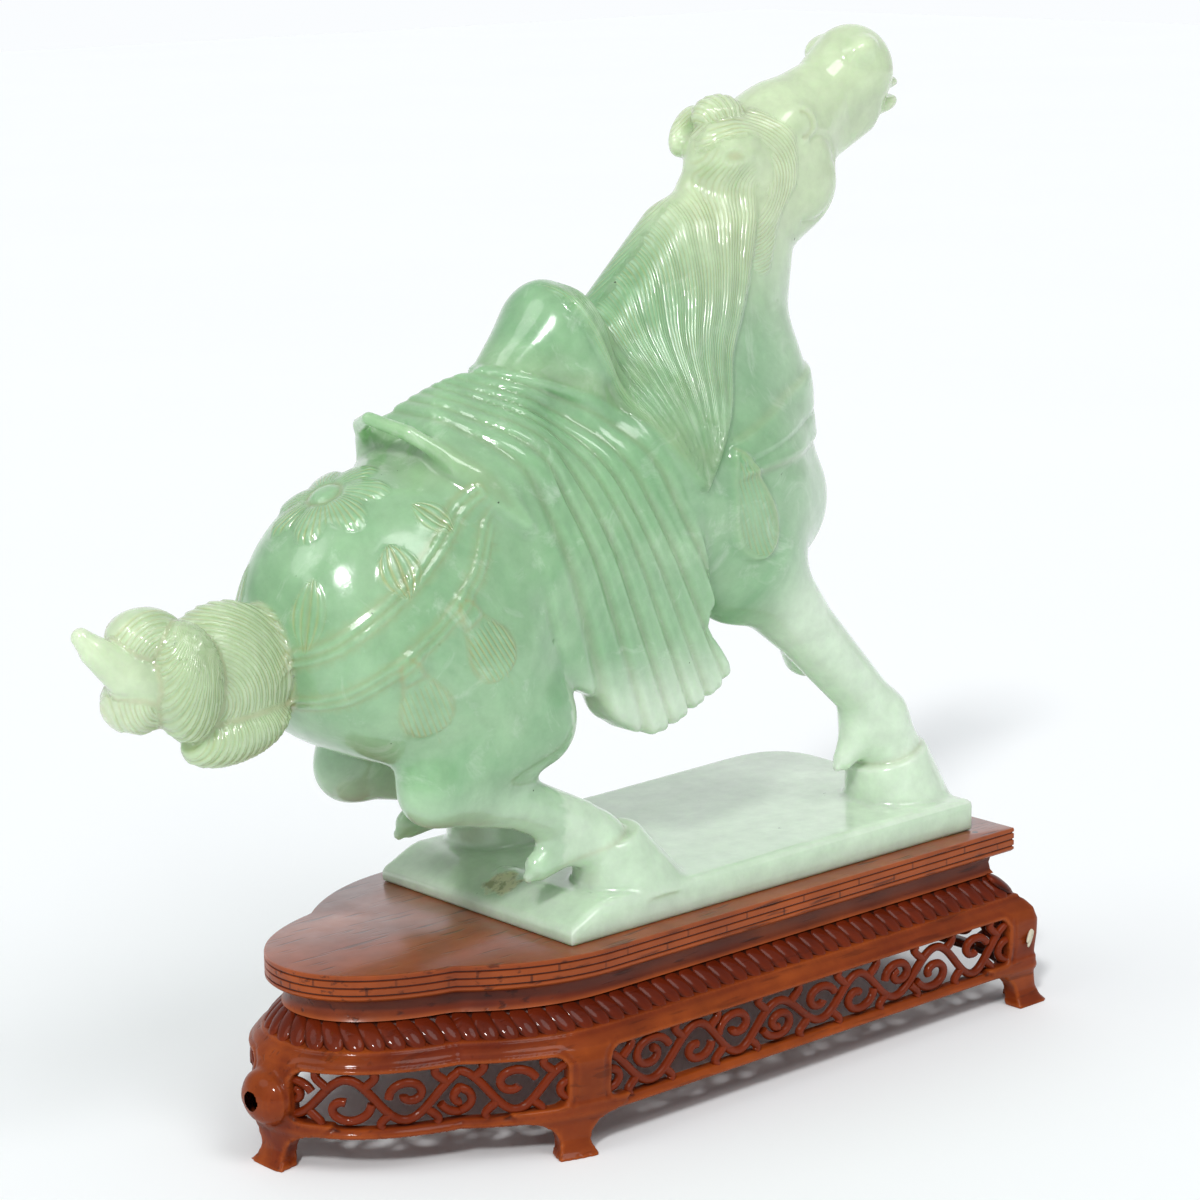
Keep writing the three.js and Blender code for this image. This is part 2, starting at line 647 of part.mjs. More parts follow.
// A bracket foot: wide under the apron, narrow at the ankle, flared at the toe
function foot(centre, spread) {
  const levels = [[openBottom - 1.5, spread], [5.6, spread * 0.62], [3.4, 4.4], [1.4, 4.0], [0, 5.6]];
  const outs = [[0.6, 4.4], [-0.2, 4.0], [0.2, 4.4], [0.4, 5.0], [0.2, 6.6]];
  const across = 4;
  const positions = [];
  const index = [];
  const loop = 2 * (across + 1);
  levels.forEach(([z, half], r) => {
    const along = (i) => centre - half + 2 * half * i / across;
    for (let i = 0; i <= across; i++) positions.push(...place(along(i), outs[r][1], z));
    for (let i = across; i >= 0; i--) positions.push(...place(along(i), outs[r][0], z));
  });
  for (let r = 0; r + 1 < levels.length; r++) {
    for (let i = 0; i < loop; i++) {
      const [a, b] = [r * loop + i, r * loop + (i + 1) % loop];
      index.push(a, b, b + loop, a, b + loop, a + loop);
    }
  }
  for (const [r, up] of [[0, true], [levels.length - 1, false]]) {
    for (let i = 0; i < across; i++) {
      const quad = [i, i + 1, loop - 2 - i, loop - 1 - i].map((v) => v + r * loop);
      const tris = [[quad[0], quad[1], quad[2]], [quad[0], quad[2], quad[3]]];
      for (const [a, b, c] of tris) index.push(...(up ? [a, c, b] : [a, b, c]));
    }
  }
  return indexed(positions, index);
}

function makeStandBase() {
  const top = waistBottom - seam;
  const sill = openBottom - 2.6;
  const plain = stations(1, 1, 12);
  const outer = ringBody([
    [-3, 28.4], [1.6, 28.2], [apronBulge * 0.8, 26.4], [apronBulge, 22.4], [apronBulge * 0.8, sill],
  ], plain);
  const inner = ringBody([
    [apronBulge - apronWall - 2.6, 26.8], [apronBulge - apronWall, 23], [apronBulge - apronWall, 14],
    [apronBulge - apronWall - 0.5, sill - 1],
  ], plain);
  const stretches = [corner, bendStart - corner, halfLength - bendStart];
  const lobes = stretches.map((v) => 2 * Math.round(v / gadroonWidth));
  const band = ringBody([
    [-4.4, top], [1.1, 29.3], [-1, 27.7],
  ], stations(...lobes), (i, r) => (r === 1 ? [0, i % 2 ? 0.9 : -0.4] : [0, 0]));
  let body = solid(outer).add(solid(band)).subtract(solid(inner));
  const middleLeg = bendStart + 14;
  const panels = [
    [corner + 6, middleLeg - 8, 1], [middleLeg + 8, halfLength - 9, 12], [-corner + 8, corner - 8, 1],
    [-middleLeg + 8, -corner - 6, 1], [-halfLength + 9, -middleLeg - 8, 12],
  ];
  for (const [from, to, steps] of panels) {
    const hole = new THREE.ExtrudeGeometry(openingShape(from, to, steps), { depth: 9, bevelEnabled: false });
    body = body.subtract(solid(bend(hole, 7)));
    body = body.add(solid(vines(from - 0.6, to + 0.6, apronBulge - 1.4 - vineDepth)));
  }
  const legs = [[corner, 11], [-corner, 11], [middleLeg, 12], [-middleLeg, 12], [halfLength, 12]];
  for (const [centre, spread] of legs) {
    body = body.add(solid(foot(centre, spread)));
  }
  return lighter(body, baseFaces);
}

function part(name, geometry, colour, roughness) {
  geometry.computeVertexNormals();
  const finish = new THREE.MeshStandardMaterial({ color: colour, roughness, metalness: 0 });
  const mesh = new THREE.Mesh(geometry, finish);
  mesh.name = name;
  return mesh;
}

const object = new THREE.Group();
object.add(part('jade_horse', makeHorse(), 0xa3c49f, 0.25));
object.add(part('stand_top', makeStandTop(), 0x8a3d1c, 0.3));
object.add(part('stand_base', makeStandBase(), 0x7d2f14, 0.3));

// Stand the work on the ground with its box centred over the origin
const box = new THREE.Box3().setFromObject(object);
object.position.set(-(box.min.x + box.max.x) / 2, -(box.min.y + box.max.y) / 2, -box.min.z);

export default object;
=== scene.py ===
import math
import time

import bmesh
import bpy
import numpy as np
from mathutils import Matrix, Vector


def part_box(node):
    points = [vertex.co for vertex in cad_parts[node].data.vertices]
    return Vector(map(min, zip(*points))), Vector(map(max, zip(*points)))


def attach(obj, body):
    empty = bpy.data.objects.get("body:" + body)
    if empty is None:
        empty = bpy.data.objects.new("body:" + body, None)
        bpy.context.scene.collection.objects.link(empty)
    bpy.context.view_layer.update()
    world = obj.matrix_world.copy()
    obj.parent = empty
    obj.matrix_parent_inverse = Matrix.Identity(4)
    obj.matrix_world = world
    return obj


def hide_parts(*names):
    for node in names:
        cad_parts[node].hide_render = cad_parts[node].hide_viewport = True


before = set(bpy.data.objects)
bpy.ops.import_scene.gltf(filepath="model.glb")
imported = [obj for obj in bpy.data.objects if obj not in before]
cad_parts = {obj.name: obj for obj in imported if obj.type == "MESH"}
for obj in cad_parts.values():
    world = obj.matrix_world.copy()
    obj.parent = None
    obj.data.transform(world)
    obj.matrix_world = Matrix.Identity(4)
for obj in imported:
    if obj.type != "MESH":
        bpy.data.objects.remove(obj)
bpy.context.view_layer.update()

startTime = time.time()


def report(stage):
    print(f"{stage} ({time.time() - startTime:.0f} s)")


# Everything is worked out in millimetres, x from the rear edge of the slab, and moved
# into the frame's metres when a mesh is made
board = dict(front=144.2, half=41.3, straightEnd=8, lobeTip=-56, cuspX=-28, cuspHalf=26.8, top=46.1, edge=6.2,
             hole=(133.9, -37.3, 46.1))
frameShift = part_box("stand_top")[1][0] * 1000 - board["front"]
slab = dict(length=135, half=35.4, thick=8.3, rearThick=3.4, bevel=12)
slabTop = board["top"] + slab["thick"]


# Distance fields over arrays of points

def join(a, b, k):
    h = np.maximum(k - np.abs(a - b), 0) / k
    return np.minimum(a, b) - h * h * k * 0.25


def meet(a, b, k):
    return -join(-a, -b, k)


def ramp(a, b, v):
    t = np.clip((v - a) / (b - a), 0, 1)
    return t * t * (3 - 2 * t)


def egg(p, centre, half, pitch=0, yaw=0):
    cp, sp = math.cos(math.radians(pitch)), math.sin(math.radians(pitch))
    cw, sw = math.cos(math.radians(yaw)), math.sin(math.radians(yaw))
    ax, ay, az = p[0] - centre[0], p[1] - centre[1], p[2] - centre[2]
    bx, y = ax * cw + ay * sw, ay * cw - ax * sw
    x, z = bx * cp + az * sp, az * cp - bx * sp
    k0 = np.sqrt((x / half[0]) ** 2 + (y / half[1]) ** 2 + (z / half[2]) ** 2) + 1e-6
    k1 = np.sqrt((x / half[0] ** 2) ** 2 + (y / half[1] ** 2) ** 2 + (z / half[2] ** 2) ** 2) + 1e-6
    return k0 * (k0 - 1) / k1


def limb(p, stations, flat=1.0):
    x, y, z = p[0], p[1] / flat, p[2]
    best = None
    for (ax, ay, az, ar), (bx, by, bz, br) in zip(stations, stations[1:]):
        ay, by = ay / flat, by / flat
        ex, ey, ez = bx - ax, by - ay, bz - az
        t = ((x - ax) * ex + (y - ay) * ey + (z - az) * ez) / (ex * ex + ey * ey + ez * ez)
        t = np.clip(t, 0, 1)
        gap = np.sqrt((x - ax - ex * t) ** 2 + (y - ay - ey * t) ** 2 + (z - az - ez * t) ** 2)
        gap -= ar + (br - ar) * t
        best = gap if best is None else np.minimum(best, gap)
    return best * min(1, flat)


def outlineDistance(outline, u, v):
    best = np.full(u.shape, 1e9, np.float32)
    inside = np.zeros(u.shape, bool)
    for (ax, ay), (bx, by) in zip(outline, outline[1:] + outline[:1]):
        ex, ey = bx - ax, by - ay
        t = np.clip(((u - ax) * ex + (v - ay) * ey) / (ex * ex + ey * ey + 1e-12), 0, 1)
        best = np.minimum(best, (u - ax - ex * t) ** 2 + (v - ay - ey * t) ** 2)
        if ay != by:
            inside ^= ((ay <= v) != (by <= v)) & (u < ax + ex * (v - ay) / ey)
    return np.where(inside, -1, 1) * np.sqrt(best)


def lineDistance(line, u, v):
    best = np.full(u.shape, 1e9, np.float32)
    for (ax, ay), (bx, by) in zip(line, line[1:]):
        ex, ey = bx - ax, by - ay
        t = np.clip(((u - ax) * ex + (v - ay) * ey) / (ex * ex + ey * ey + 1e-12), 0, 1)
        best = np.minimum(best, (u - ax - ex * t) ** 2 + (v - ay - ey * t) ** 2)
    return np.sqrt(best)


def smoothLoop(points, steps):
    pts = np.array(points, float)
    out = []
    for i in range(len(pts)):
        a, b, c, d = (pts[(i + k) % len(pts)] for k in (-1, 0, 1, 2))
        for t in np.linspace(0, 1, steps, endpoint=False):
            out.append(tuple(0.5 * (2 * b + (c - a) * t + (2 * a - 5 * b + 4 * c - d) * t * t
                                    + (3 * b - a - 3 * c + d) * t ** 3)))
    return out


def bezier(a, b, c, d, steps):
    t = np.linspace(0, 1, steps)[:, None]
    a, b, c, d = (np.array(q, float) for q in (a, b, c, d))
    return a * (1 - t) ** 3 + 3 * b * t * (1 - t) ** 2 + 3 * c * t * t * (1 - t) + d * t ** 3


def curved(*controls):
    return [tuple(map(float, q)) for q in bezier(*controls, 9)]


# The horse, form by form
clothOutline = smoothLoop([
    (-19, 160), (-1.5, 142), (0.5, 122), (8, 106), (14.4, 101), (22, 93.6), (33, 88.5), (46, 92.4),
    (58, 99.6), (51, 111.8), (53.3, 120), (46.7, 140), (33, 170), (0, 176)], 4)
mane = dict(rear=curved((22, 192), (30, 170), (40, 156), (47.5, 145)),
            front=curved((84, 212), (84, 194), (64, 168), (50, 144)), locks=11, strands=70, depth=0.42)
hairLoop = dict(line=[(50, 207), (62.3, 219.3), (72.7, 227), (84.2, 227.8), (91.2, 222.1), (92.2, 212.5),
                      (87.4, 204), (83, 194)], centre=(79, 212), half=4.2)
maneOutline = [(20, 196)] + mane["rear"] + mane["front"][::-1] + [(80, 224), (60, 226)]


def trunk(p, m):
    d = limb(p, [(-12, 0, 122, 30), (18, 0, 134, 29), (55, 0, 146, 30), (76, 0, 138, 26)], 0.93)
    d = join(d, egg(p, (-23.6, 0, 123.2), (35.8, 29, 33), 12), 10)
    d = join(d, egg(m, (-26, -13, 113), (27, 16, 21), -12), 8)
    d = join(d, egg(p, (85, 0, 134), (24, 22, 20)), 8)
    return join(d, egg(p, (86, 0, 158), (18, 18, 22)), 7)


# the top of a hoof is a sloping edge, given by its middle and its rise towards the front
hindCrown = (19, 65.5, 0.3)
foreCrown = (123.5, 67, 0.29)


def hoof(p, cone, crown):
    above = p[2] - crown[1] - crown[2] * (p[0] - crown[0])
    return meet(meet(limb(p, cone, 0.95), above, 0.9), slabTop - 1.5 - p[2], 1)


def hindLegs(d, p, m):
    d = join(d, egg(m, (-11.5, -19, 104), (18.5, 13, 20.5), -20), 8)
    d = join(d, limb(p, [(0, -22, 97, 11), (-27, -21, 87, 8)], 0.9), 7)
    d = join(d, limb(p, [(0, 22, 97, 11), (-19, 20, 82.6, 8.2)], 0.9), 7)
    nearShank = [(-28, -21, 85.5, 7.5), (-5, -22.5, 79, 6.2), (13, -23, 70, 6), (18, -23, 65.5, 6.5)]
    farShank = [(-21, 20, 82, 7.5), (-2, 22, 76, 6.2), (13, 23, 69.5, 6), (18, 23, 65.5, 6.5)]
    for shank in (nearShank, farShank):
        d = join(d, limb(p, shank, 0.9), 4)
    d = join(d, limb(m, [(18, -23, 65, 6.5), (23, -23.4, 60, 7)]), 3)
    d = join(d, limb(m, [(9, -23, 66, 5), (0, -24, 63, 3.5), (-3, -24, 61, 1.5)], 0.8), 4)
    return join(d, hoof(m, [(19, -23.4, 70, 6.7), (27.5, -23.4, 50.5, 14)], hindCrown), 0.8)


def foreLegs(d, p, m):
    d = join(d, egg(m, (69, -17, 136), (19, 11, 28)), 8)
    nearLeg = [(74, -17, 122, 12), (92, -18, 103, 8.1), (111, -18, 84, 6.8), (117.5, -18, 75.5, 7.8)]
    d = join(d, limb(p, nearLeg, 0.95), 6)
    d = join(d, limb(p, [(117.5, -18, 75.5, 7.8), (122, -18, 66, 8.6)]), 3)
    d = join(d, limb(p, [(112, -18, 73, 6), (106, -18, 67, 3), (104, -18, 65.5, 1.5)], 0.8), 4)
    d = join(d, limb(p, [(76, 14, 124, 12), (110, 15, 109, 7)], 0.95), 6)
    d = join(d, limb(p, [(110, 15, 108, 6.6), (121, 15, 92, 5)], 0.95), 3)
    d = join(d, limb(p, [(121, 15, 92, 5.2), (126, 15, 86, 6.8)]), 2)
    return join(d, hoof(p, [(119.5, -18, 73, 8.9), (125, -18, 52, 14)], foreCrown), 0.8)


def neckAndHead(d, p, m):
    d = join(d, limb(p, [(65, 0, 162, 33), (86, 0, 203, 19)], 0.58), 8)
    d = join(d, limb(p, [(40, 0, 178, 7), (64, 0, 201.5, 6)]), 6)
    d = join(d, egg(p, (104, 0, 211), (13, 11.5, 13)), 6)
    d = join(d, egg(p, (95, 0, 220), (17, 12, 13), 30), 6)
    d = join(d, limb(p, [(104, 0, 224, 12.2), (116, 0, 230.6, 9.8), (126, 0, 236.2, 11.6)], 0.85), 4)
    d = join(d, egg(m, (97, -9.6, 226), (4.4, 1.9, 3.4), 20), 3.5)
    d = join(d, limb(p, [(112, 0, 220, 7.5), (128, 0, 226.4, 6.4)], 0.85), 3)
    d = join(d, egg(m, (122.5, -7.2, 242), (4.4, 2.6, 2.6), 20), 2.5)
    d = join(d, egg(p, (135.4, 0, 228), (4.6, 5.8, 2.6), 20), 1)
    d = join(d, egg(m, (136, -3, 233.2), (3.0, 2.4, 1.6)), 0.8)
    d = meet(d, -egg(p, (139.6, 0, 230.9), (6, 14, 0.7), 10), 0.5)
    d = join(d, egg(p, (79, 9, 224), (9.8, 3, 5.0), 22, 25), 1.2)
    d = meet(d, -egg(p, (75.5, 11.4, 222), (5.6, 1.6, 2.7), 22, 25), 0.6)
    d = join(d, egg(p, (80, -3, 219), (10, 9, 8.5), -8), 3)
    return join(d, egg(p, (80.5, 0, 228.4), (7.2, 5.4, 4.9), 4), 1.6)


def saddle(d, p, m):
    d = join(d, egg(p, (28, 0, 167.5), (10.2, 16.5, 26), 8), 4)
    d = join(d, limb(p, [(25.5, 0, 181.5, 10), (11, 0, 167, 9.5)], 1.15), 5)
    d = join(d, egg(p, (4, 0, 150.5), (19, 25, 19.4), 25), 5)
    d = join(d, egg(p, (-9, 0, 151), (15, 23, 13), 20), 5)
    cantle = [(-27, 0, 167.5, 1.7), (-22.5, -9, 164.5, 2.1), (-12, -20, 155, 2.4), (-3, -25, 144, 1.6)]
    d = join(d, limb(m, cantle), 3)
    middle = 23 - 0.013 * np.maximum(p[2] - 128, 0) ** 2
    cloth = meet(outlineDistance(clothOutline, p[0], p[2]), np.abs(np.abs(p[1]) - middle) - 6.2, 3)
    return join(d, cloth, 2.5)


# the loops of the knotted tail; hairs either fan out from a point or run round one
tailLobes = [
    dict(centre=(-69, 0, 115.4), half=(17, 12, 17.3), tip=0, round=(-80, 112)),
    dict(centre=(-83.4, -7, 118.2), half=(8.6, 7.6, 13.6), tip=3, fan=(-84, 134), density=25),
    dict(centre=(-88.6, 0, 127.4), half=(9.2, 8, 7.2), tip=-6, round=(-89, 124)),
    dict(centre=(-91.2, 0, 114), half=(8.4, 8.2, 7.2), tip=8, round=(-90, 115)),
    dict(centre=(-69.6, -5, 104.4), half=(14, 8, 6.8), tip=12, fan=(-73, 124), density=24)]
tailHorn = [(-90, -4, 118.6, 5.8), (-96, -3, 121.2, 5.3), (-102, -1, 127, 3.9), (-104.6, 0, 130.2, 2.7)]


def tail(d, p):
    for k, lobe in enumerate(tailLobes):
        d = join(d, egg(p, lobe["centre"], lobe["half"], lobe["tip"]), 0.5 if k else 3)
    return join(d, limb(p, tailHorn), 0.6)


def tailStrands(p):
    # depth in the nearest loop, the hair count on it, and the depth in the next one
    best, second, count = limb(p, tailHorn), np.full_like(p[0], 1e3), np.zeros_like(p[0])
    for lobe in tailLobes:
        d = egg(p, lobe["centre"], lobe["half"], lobe["tip"])
        if "fan" in lobe:
            here = np.arctan2(p[0] - lobe["fan"][0] + 0.25 * p[1], lobe["fan"][1] - p[2]) * lobe["density"]
        else:
            here = np.hypot(p[0] - lobe["round"][0], p[2] - lobe["round"][1]) / 0.85 + 0.15 * p[1]
        nearer = d < best
        second = np.where(nearer, best, np.minimum(second, d))
        count = np.where(nearer, here, count)
        best = np.where(nearer, d, best)
    return best, count, second


# the far front corner of the slab follows the rounded edge of the stone
slabOutline = [(0, -slab["half"]), (slab["length"], -slab["half"])] + [tuple(q) for q in bezier(
    (slab["length"], 4), (slab["length"] + 4, 24), (slab["length"] + 5, slab["half"] + 4),
    (slab["length"] - 20, slab["half"] + 1.8), 12)] + [(70, slab["half"]), (0, slab["half"])]


def slabField(p):
    x, y, z = p
    top = board["top"] + slab["rearThick"] + (slab["thick"] - slab["rearThick"]) * ramp(-3, slab["bevel"], x)
    plan = outlineDistance(slabOutline, x, y)
    return meet(meet(plan, z - top, 2.2), board["top"] - z, 0.3)


def horseField(p):
    m = (p[0], -np.abs(p[1]), p[2])
    d = foreLegs(hindLegs(trunk(p, m), p, m), p, m)
    d = tail(saddle(neckAndHead(d, p, m), p, m), p)
    return join(d, slabField(p), 1.6)


# Carved relief. Each ornament has a place on the side of the body and a direction,
# and is drawn in the plane that touches the body there
valleys = [-6, 4, 11.4, 17.3, 22.8, 27.5, 33, 40, 48]
folds = dict(depth=1.35, fineDepth=0.3)
straps = [
    [(-14, 152), (-20.3, 147.4), (-36, 134.9), (-46.2, 127.4), (-52.6, 122.5), (-63.3, 114.9)],
    [(-8, 150), (-14.7, 142.1), (-20.1, 134.9), (-30.8, 125.3), (-50.6, 111.1), (-60, 106)]]
ornaments = [
    dict(kind="tassel", top=(-40.8, -28, 120), bottom=(-32.5, -28, 102), wide=6.2),
    dict(kind="tassel", top=(-26.2, -28, 130.5), bottom=(-15.5, -28, 112), wide=6.2),
    dict(kind="leaf", top=(-66.5, -20, 145), bottom=(-67.5, -20, 127), wide=4.2),
    dict(kind="leaf", top=(-39, -22, 145), bottom=(-35, -22, 128.5), wide=5),
    dict(kind="leaf", top=(-29, -19, 154), bottom=(-22, -22, 142.5), wide=4),
    dict(kind="pendant", top=(57.5, -22, 152), bottom=(68, -22, 124.2), wide=8.8)]


def foldNumber(x, z):
    up = np.maximum(z - 145, 0)
    down = np.maximum(145 - z, 0)
    start = np.where(z > 145, x + 0.35 * up + 0.00103 * up ** 3, (x - 0.276 * down) / (1 + 0.006 * down))
    return np.interp(start, valleys, np.arange(len(valleys)))


def touch(centre, towards):
    # settle a point onto the body and give the directions along and across it
    c = np.array(centre, float)
    step = 0.2

    def slope(at):
        probes = np.array([at + s * step * e for e in np.eye(3) for s in (1, -1)])
        q = tuple(probes.T)
        v = trunkOnly(q)
        g = np.array([v[0] - v[1], v[2] - v[3], v[4] - v[5]])
        return g / np.linalg.norm(g), v.mean()

    for _ in range(12):
        n, v = slope(c)
        c = c - n * v * 0.9
    along = np.array(towards, float) - c
    along -= n * along.dot(n)
    length = np.linalg.norm(along)
    along /= length
    return c, along, np.cross(n, along), n, length


def trunkOnly(p):
    m = (p[0], -np.abs(p[1]), p[2])
    return hindLegs(trunk(p, m), p, m)


def localCoordinates(p, item):
    # u runs from the top of the ornament (0) to its bottom (1), v is in millimetres across
    c, along, across, n, length = item["place"]
    dx, dy, dz = p[0] - c[0], p[1] - c[1], p[2] - c[2]
    u = (dx * along[0] + dy * along[1] + dz * along[2]) / length
    v = dx * across[0] + dy * across[1] + dz * across[2]
    w = dx * n[0] + dy * n[1] + dz * n[2]
    return u, v, np.abs(w) < 9


def tasselRelief(u, v, wide):
    knob = np.sqrt(((u - 0.16) * 18) ** 2 + v ** 2)
    half = wide * (0.45 + 0.55 * ramp(0.25, 0.75, u)) * np.sqrt(np.clip(1 - ((u - 0.55) / 0.5) ** 4, 0, 1))
    skirt = ramp(0.8, -0.8, np.abs(v) - half)
    lift = 0.4 * skirt + 0.6 * ramp(4.6, 2.6, knob)
    threads = skirt * ramp(0.38, 0.5, u)
    ring = np.exp(-((u - 0.34) / 0.025) ** 2) * skirt
    edge = np.exp(-((np.abs(v) - half) / 0.6) ** 2) * (half > 0.5)
    return lift - 0.3 * ring, 0.35 * np.maximum(edge, ring), 0.8 * v, 1.5 * threads


def leafRelief(u, v, wide):
    half = wide * np.maximum(np.sin(np.pi * np.clip(u, 0, 1)), 0) ** 0.8
    blade = ramp(0.5, -0.9, np.abs(v) - half) * (u > 0) * (u < 1)
    rib = np.exp(-(v / 0.5) ** 2)
    edge = np.exp(-((np.abs(v) - half) / 0.5) ** 2) * (half > 0.6)
    mark = blade * 0.25 * np.maximum(rib, edge)
    return blade * (0.35 - 0.25 * rib), mark, 2.6 * v / (half + 0.8), 1.4 * blade


def pendantRelief(u, v, wide):
    half = wide * np.sqrt(np.clip(u, 0, 1)) * np.sqrt(np.clip(1 - np.clip(u - 0.55, 0, 1) ** 2 / 0.2, 0, 1))
    edge = np.abs(v) - half
    body = ramp(0.8, -1.0, edge) * (u > 0) * (u < 1.02)
    rim = np.exp(-((edge + 1.2) / 0.7) ** 2) * body
    knob = ramp(3.0, 1.6, np.hypot((u - 0.12) * 26, v + 1.5))
    lift = 0.8 * body + 0.3 * rim + 0.8 * knob * (0.7 + 0.3 * np.cos(2.6 * v + 40 * u))
    return lift, rim * (0.08 + 0.2 * (v > 0)), 0.8 * v, 0.8 * body * ramp(-1.6, -2.4, edge)


def flowerRelief(p, centre, wide):
    c, along, across, n, length = centre
    dx, dy, dz = p[0] - c[0], p[1] - c[1], p[2] - c[2]
    u = dx * along[0] + dy * along[1] + dz * along[2]
    v = dx * across[0] + dy * across[1] + dz * across[2]
    w = np.abs(dx * n[0] + dy * n[1] + dz * n[2])
    r, turn = np.sqrt(u * u + v * v), np.arctan2(v, u)
    petal = np.abs(np.cos(3.5 * turn))
    edge = r - wide * (0.68 + 0.32 * petal)
    body = ramp(0.7, -1.2, edge) * (w < 10)
    heart = ramp(3.6, 2.2, r)
    lift = body * (0.35 + 0.65 * petal * ramp(2, wide * 0.6, r)) + 0.6 * heart
    groove = body * np.exp(-((r - 4.1) / 0.6) ** 2)
    return lift - 0.4 * groove, 0.4 * groove, turn * 8 + r * 0.06, 1.4 * body * ramp(4.5, 6, r)


flower = dict(centre=(-41, 0, 154), wide=14.5)


def placeOrnaments():
    for item in ornaments:
        item["place"] = touch(item["top"], item["bottom"])
    flower["place"] = touch(flower["centre"], (-20, 0, 154))


def carving(p):
    # lift is how far the surface stands out; stain gathers in the cut lines; strand counts
    # hairs across a lock and hair says where they are
    x, y, z = p
    m = (x, -np.abs(y), z)
    lift = np.zeros_like(x)
    stain = np.zeros_like(x)
    strand = np.zeros_like(x)
    hair = np.zeros_like(x)

    cloth = ramp(1.5, -2, outlineDistance(clothOutline, x, z)) * (np.abs(y) > 4) * ramp(184, 172, z)
    number = foldNumber(x, z)
    valley = (0.5 + 0.5 * np.cos(2 * np.pi * number)) ** 2.2
    seat = ramp(-32, -24, x) * ramp(26, 18, x) * ramp(150, 156, z) * (z < 182)
    draped = np.maximum(cloth, 0.75 * seat) * ramp(182, 174, z)
    fade = (1 - 0.45 * ramp(150, 165, z)) * (0.62 + 0.38 * ramp(34, 12, x))
    fade = fade * (0.8 + 0.2 * np.sin(1.9 * number + 0.07 * z))
    lift -= draped * folds["depth"] * fade * valley
    lift -= cloth * folds["fineDepth"] * (0.5 + 0.5 * np.cos(4 * np.pi * number)) * ramp(158, 148, z)
    stain += draped * 0.15 * valley ** 2

    maneEdge = ramp(1, -1.5, outlineDistance(maneOutline, x, z)) * ramp(1, -4, y) * (x > 15) * (z > 140)
    maneEdge = maneEdge * (1 - ramp(215, 220, z) * ramp(70, 76, x))
    rear, front = lineDistance(mane["rear"], x, z), lineDistance(mane["front"], x, z)
    across = rear / (rear + front + 1e-6) + 0.012 * np.sin(0.16 * z + 0.1 * x)
    lock = np.abs(np.cos(np.pi * mane["locks"] * across)) ** 2
    lift += maneEdge * (1.9 * ramp(-1, -14, y) * ramp(213, 203, z) - mane["depth"] * lock)
    strand = np.where(maneEdge > 0.01, across * mane["strands"], strand)
    hair = np.maximum(hair, maneEdge ** 2)

    below = 0.864 * (z - 190) - 0.504 * (x - 20)
    crest = ramp(-19, -15, below) * ramp(17, 24, x) * (z > 176) * ramp(84, 78, x) * (1 - maneEdge)
    crest = crest * (1 - ramp(207, 212, z) * ramp(62, 68, x) * ramp(9.5, 8, below + 6))
    crest = crest * ramp(0.5, 2.0, egg(p, (28, 0, 167.5), (10.2, 16.5, 26), 8))
    strand = np.where(crest > 0.3, (0.6 * y + below) / 0.95, strand)
    hair = np.maximum(hair, crest ** 2)

    # a lock sweeps up from the crest, turns round the near ear and falls down the cheek
    offLoop = lineDistance(hairLoop["line"], x, z)
    loop = ramp(hairLoop["half"], hairLoop["half"] - 1.6, offLoop) * ramp(-3, -6, y)
    fromCentre = np.hypot(x - hairLoop["centre"][0], z - hairLoop["centre"][1])
    lift += loop * 0.55 * ramp(62, 78, x)
    strand = np.where(loop > 0.05, fromCentre / 0.9, strand)
    hair = np.where(loop > 0.05, loop, hair)
    hollow = np.hypot((x - 76.2) / 1.7, z - 219.3) * (y < -4) + 50 * (y >= -4)
    lift -= 0.7 * ramp(2.0, 0.6, hollow)
    stain += 0.4 * ramp(1.5, 0.3, hollow)

    # the breast band is two straps laid together, wider at the front
    offBand = z - 151 - (x - 62) * 0.19
    pastBand = np.abs(offBand) - 4.6 - 0.11 * np.maximum(x - 62, 0)
    onChest = ramp(56, 62, x)
    lift += onChest * (1.1 * ramp(1.0, -1.2, pastBand) - 0.4 * np.exp(-((offBand + 1.8) / 0.7) ** 2))
    stain += onChest * 0.16 * np.exp(-(pastBand / 0.9) ** 2)

    for line in straps:
        gap = lineDistance(line, x, z)
        on = (np.abs(y) > 7) * ramp(-66, -58, x) * ramp(-9, -14, x)
        lift += on * (0.4 * ramp(1.9, 1.0, gap) - 0.35 * np.exp(-(gap / 0.45) ** 2))
        stain += on * 0.3 * (np.exp(-((gap - 1.8) / 0.5) ** 2) + np.exp(-(gap / 0.5) ** 2))

    drawn = dict(tassel=tasselRelief, leaf=leafRelief, pendant=pendantRelief)
    for item in ornaments:
        u, v, near = localCoordinates(m, item)
        close = near & (u > -0.2) & (u < 1.2) & (np.abs(v) < item["wide"] + 3)
        up, mark, count, lined = drawn[item["kind"]](u, v, item["wide"])
        lift += np.where(close, up, 0)
        stain += np.where(close, mark, 0)
        on = close & (lined > 0.02)
        strand = np.where(on, count, strand)
        hair = np.where(on, lined, hair)
    up, mark, count, lined = flowerRelief(p, flower["place"], flower["wide"])
    lift += up
    stain += mark
    strand = np.where(lined > 0.02, count, strand)
    hair = np.where(lined > 0.02, lined, hair)

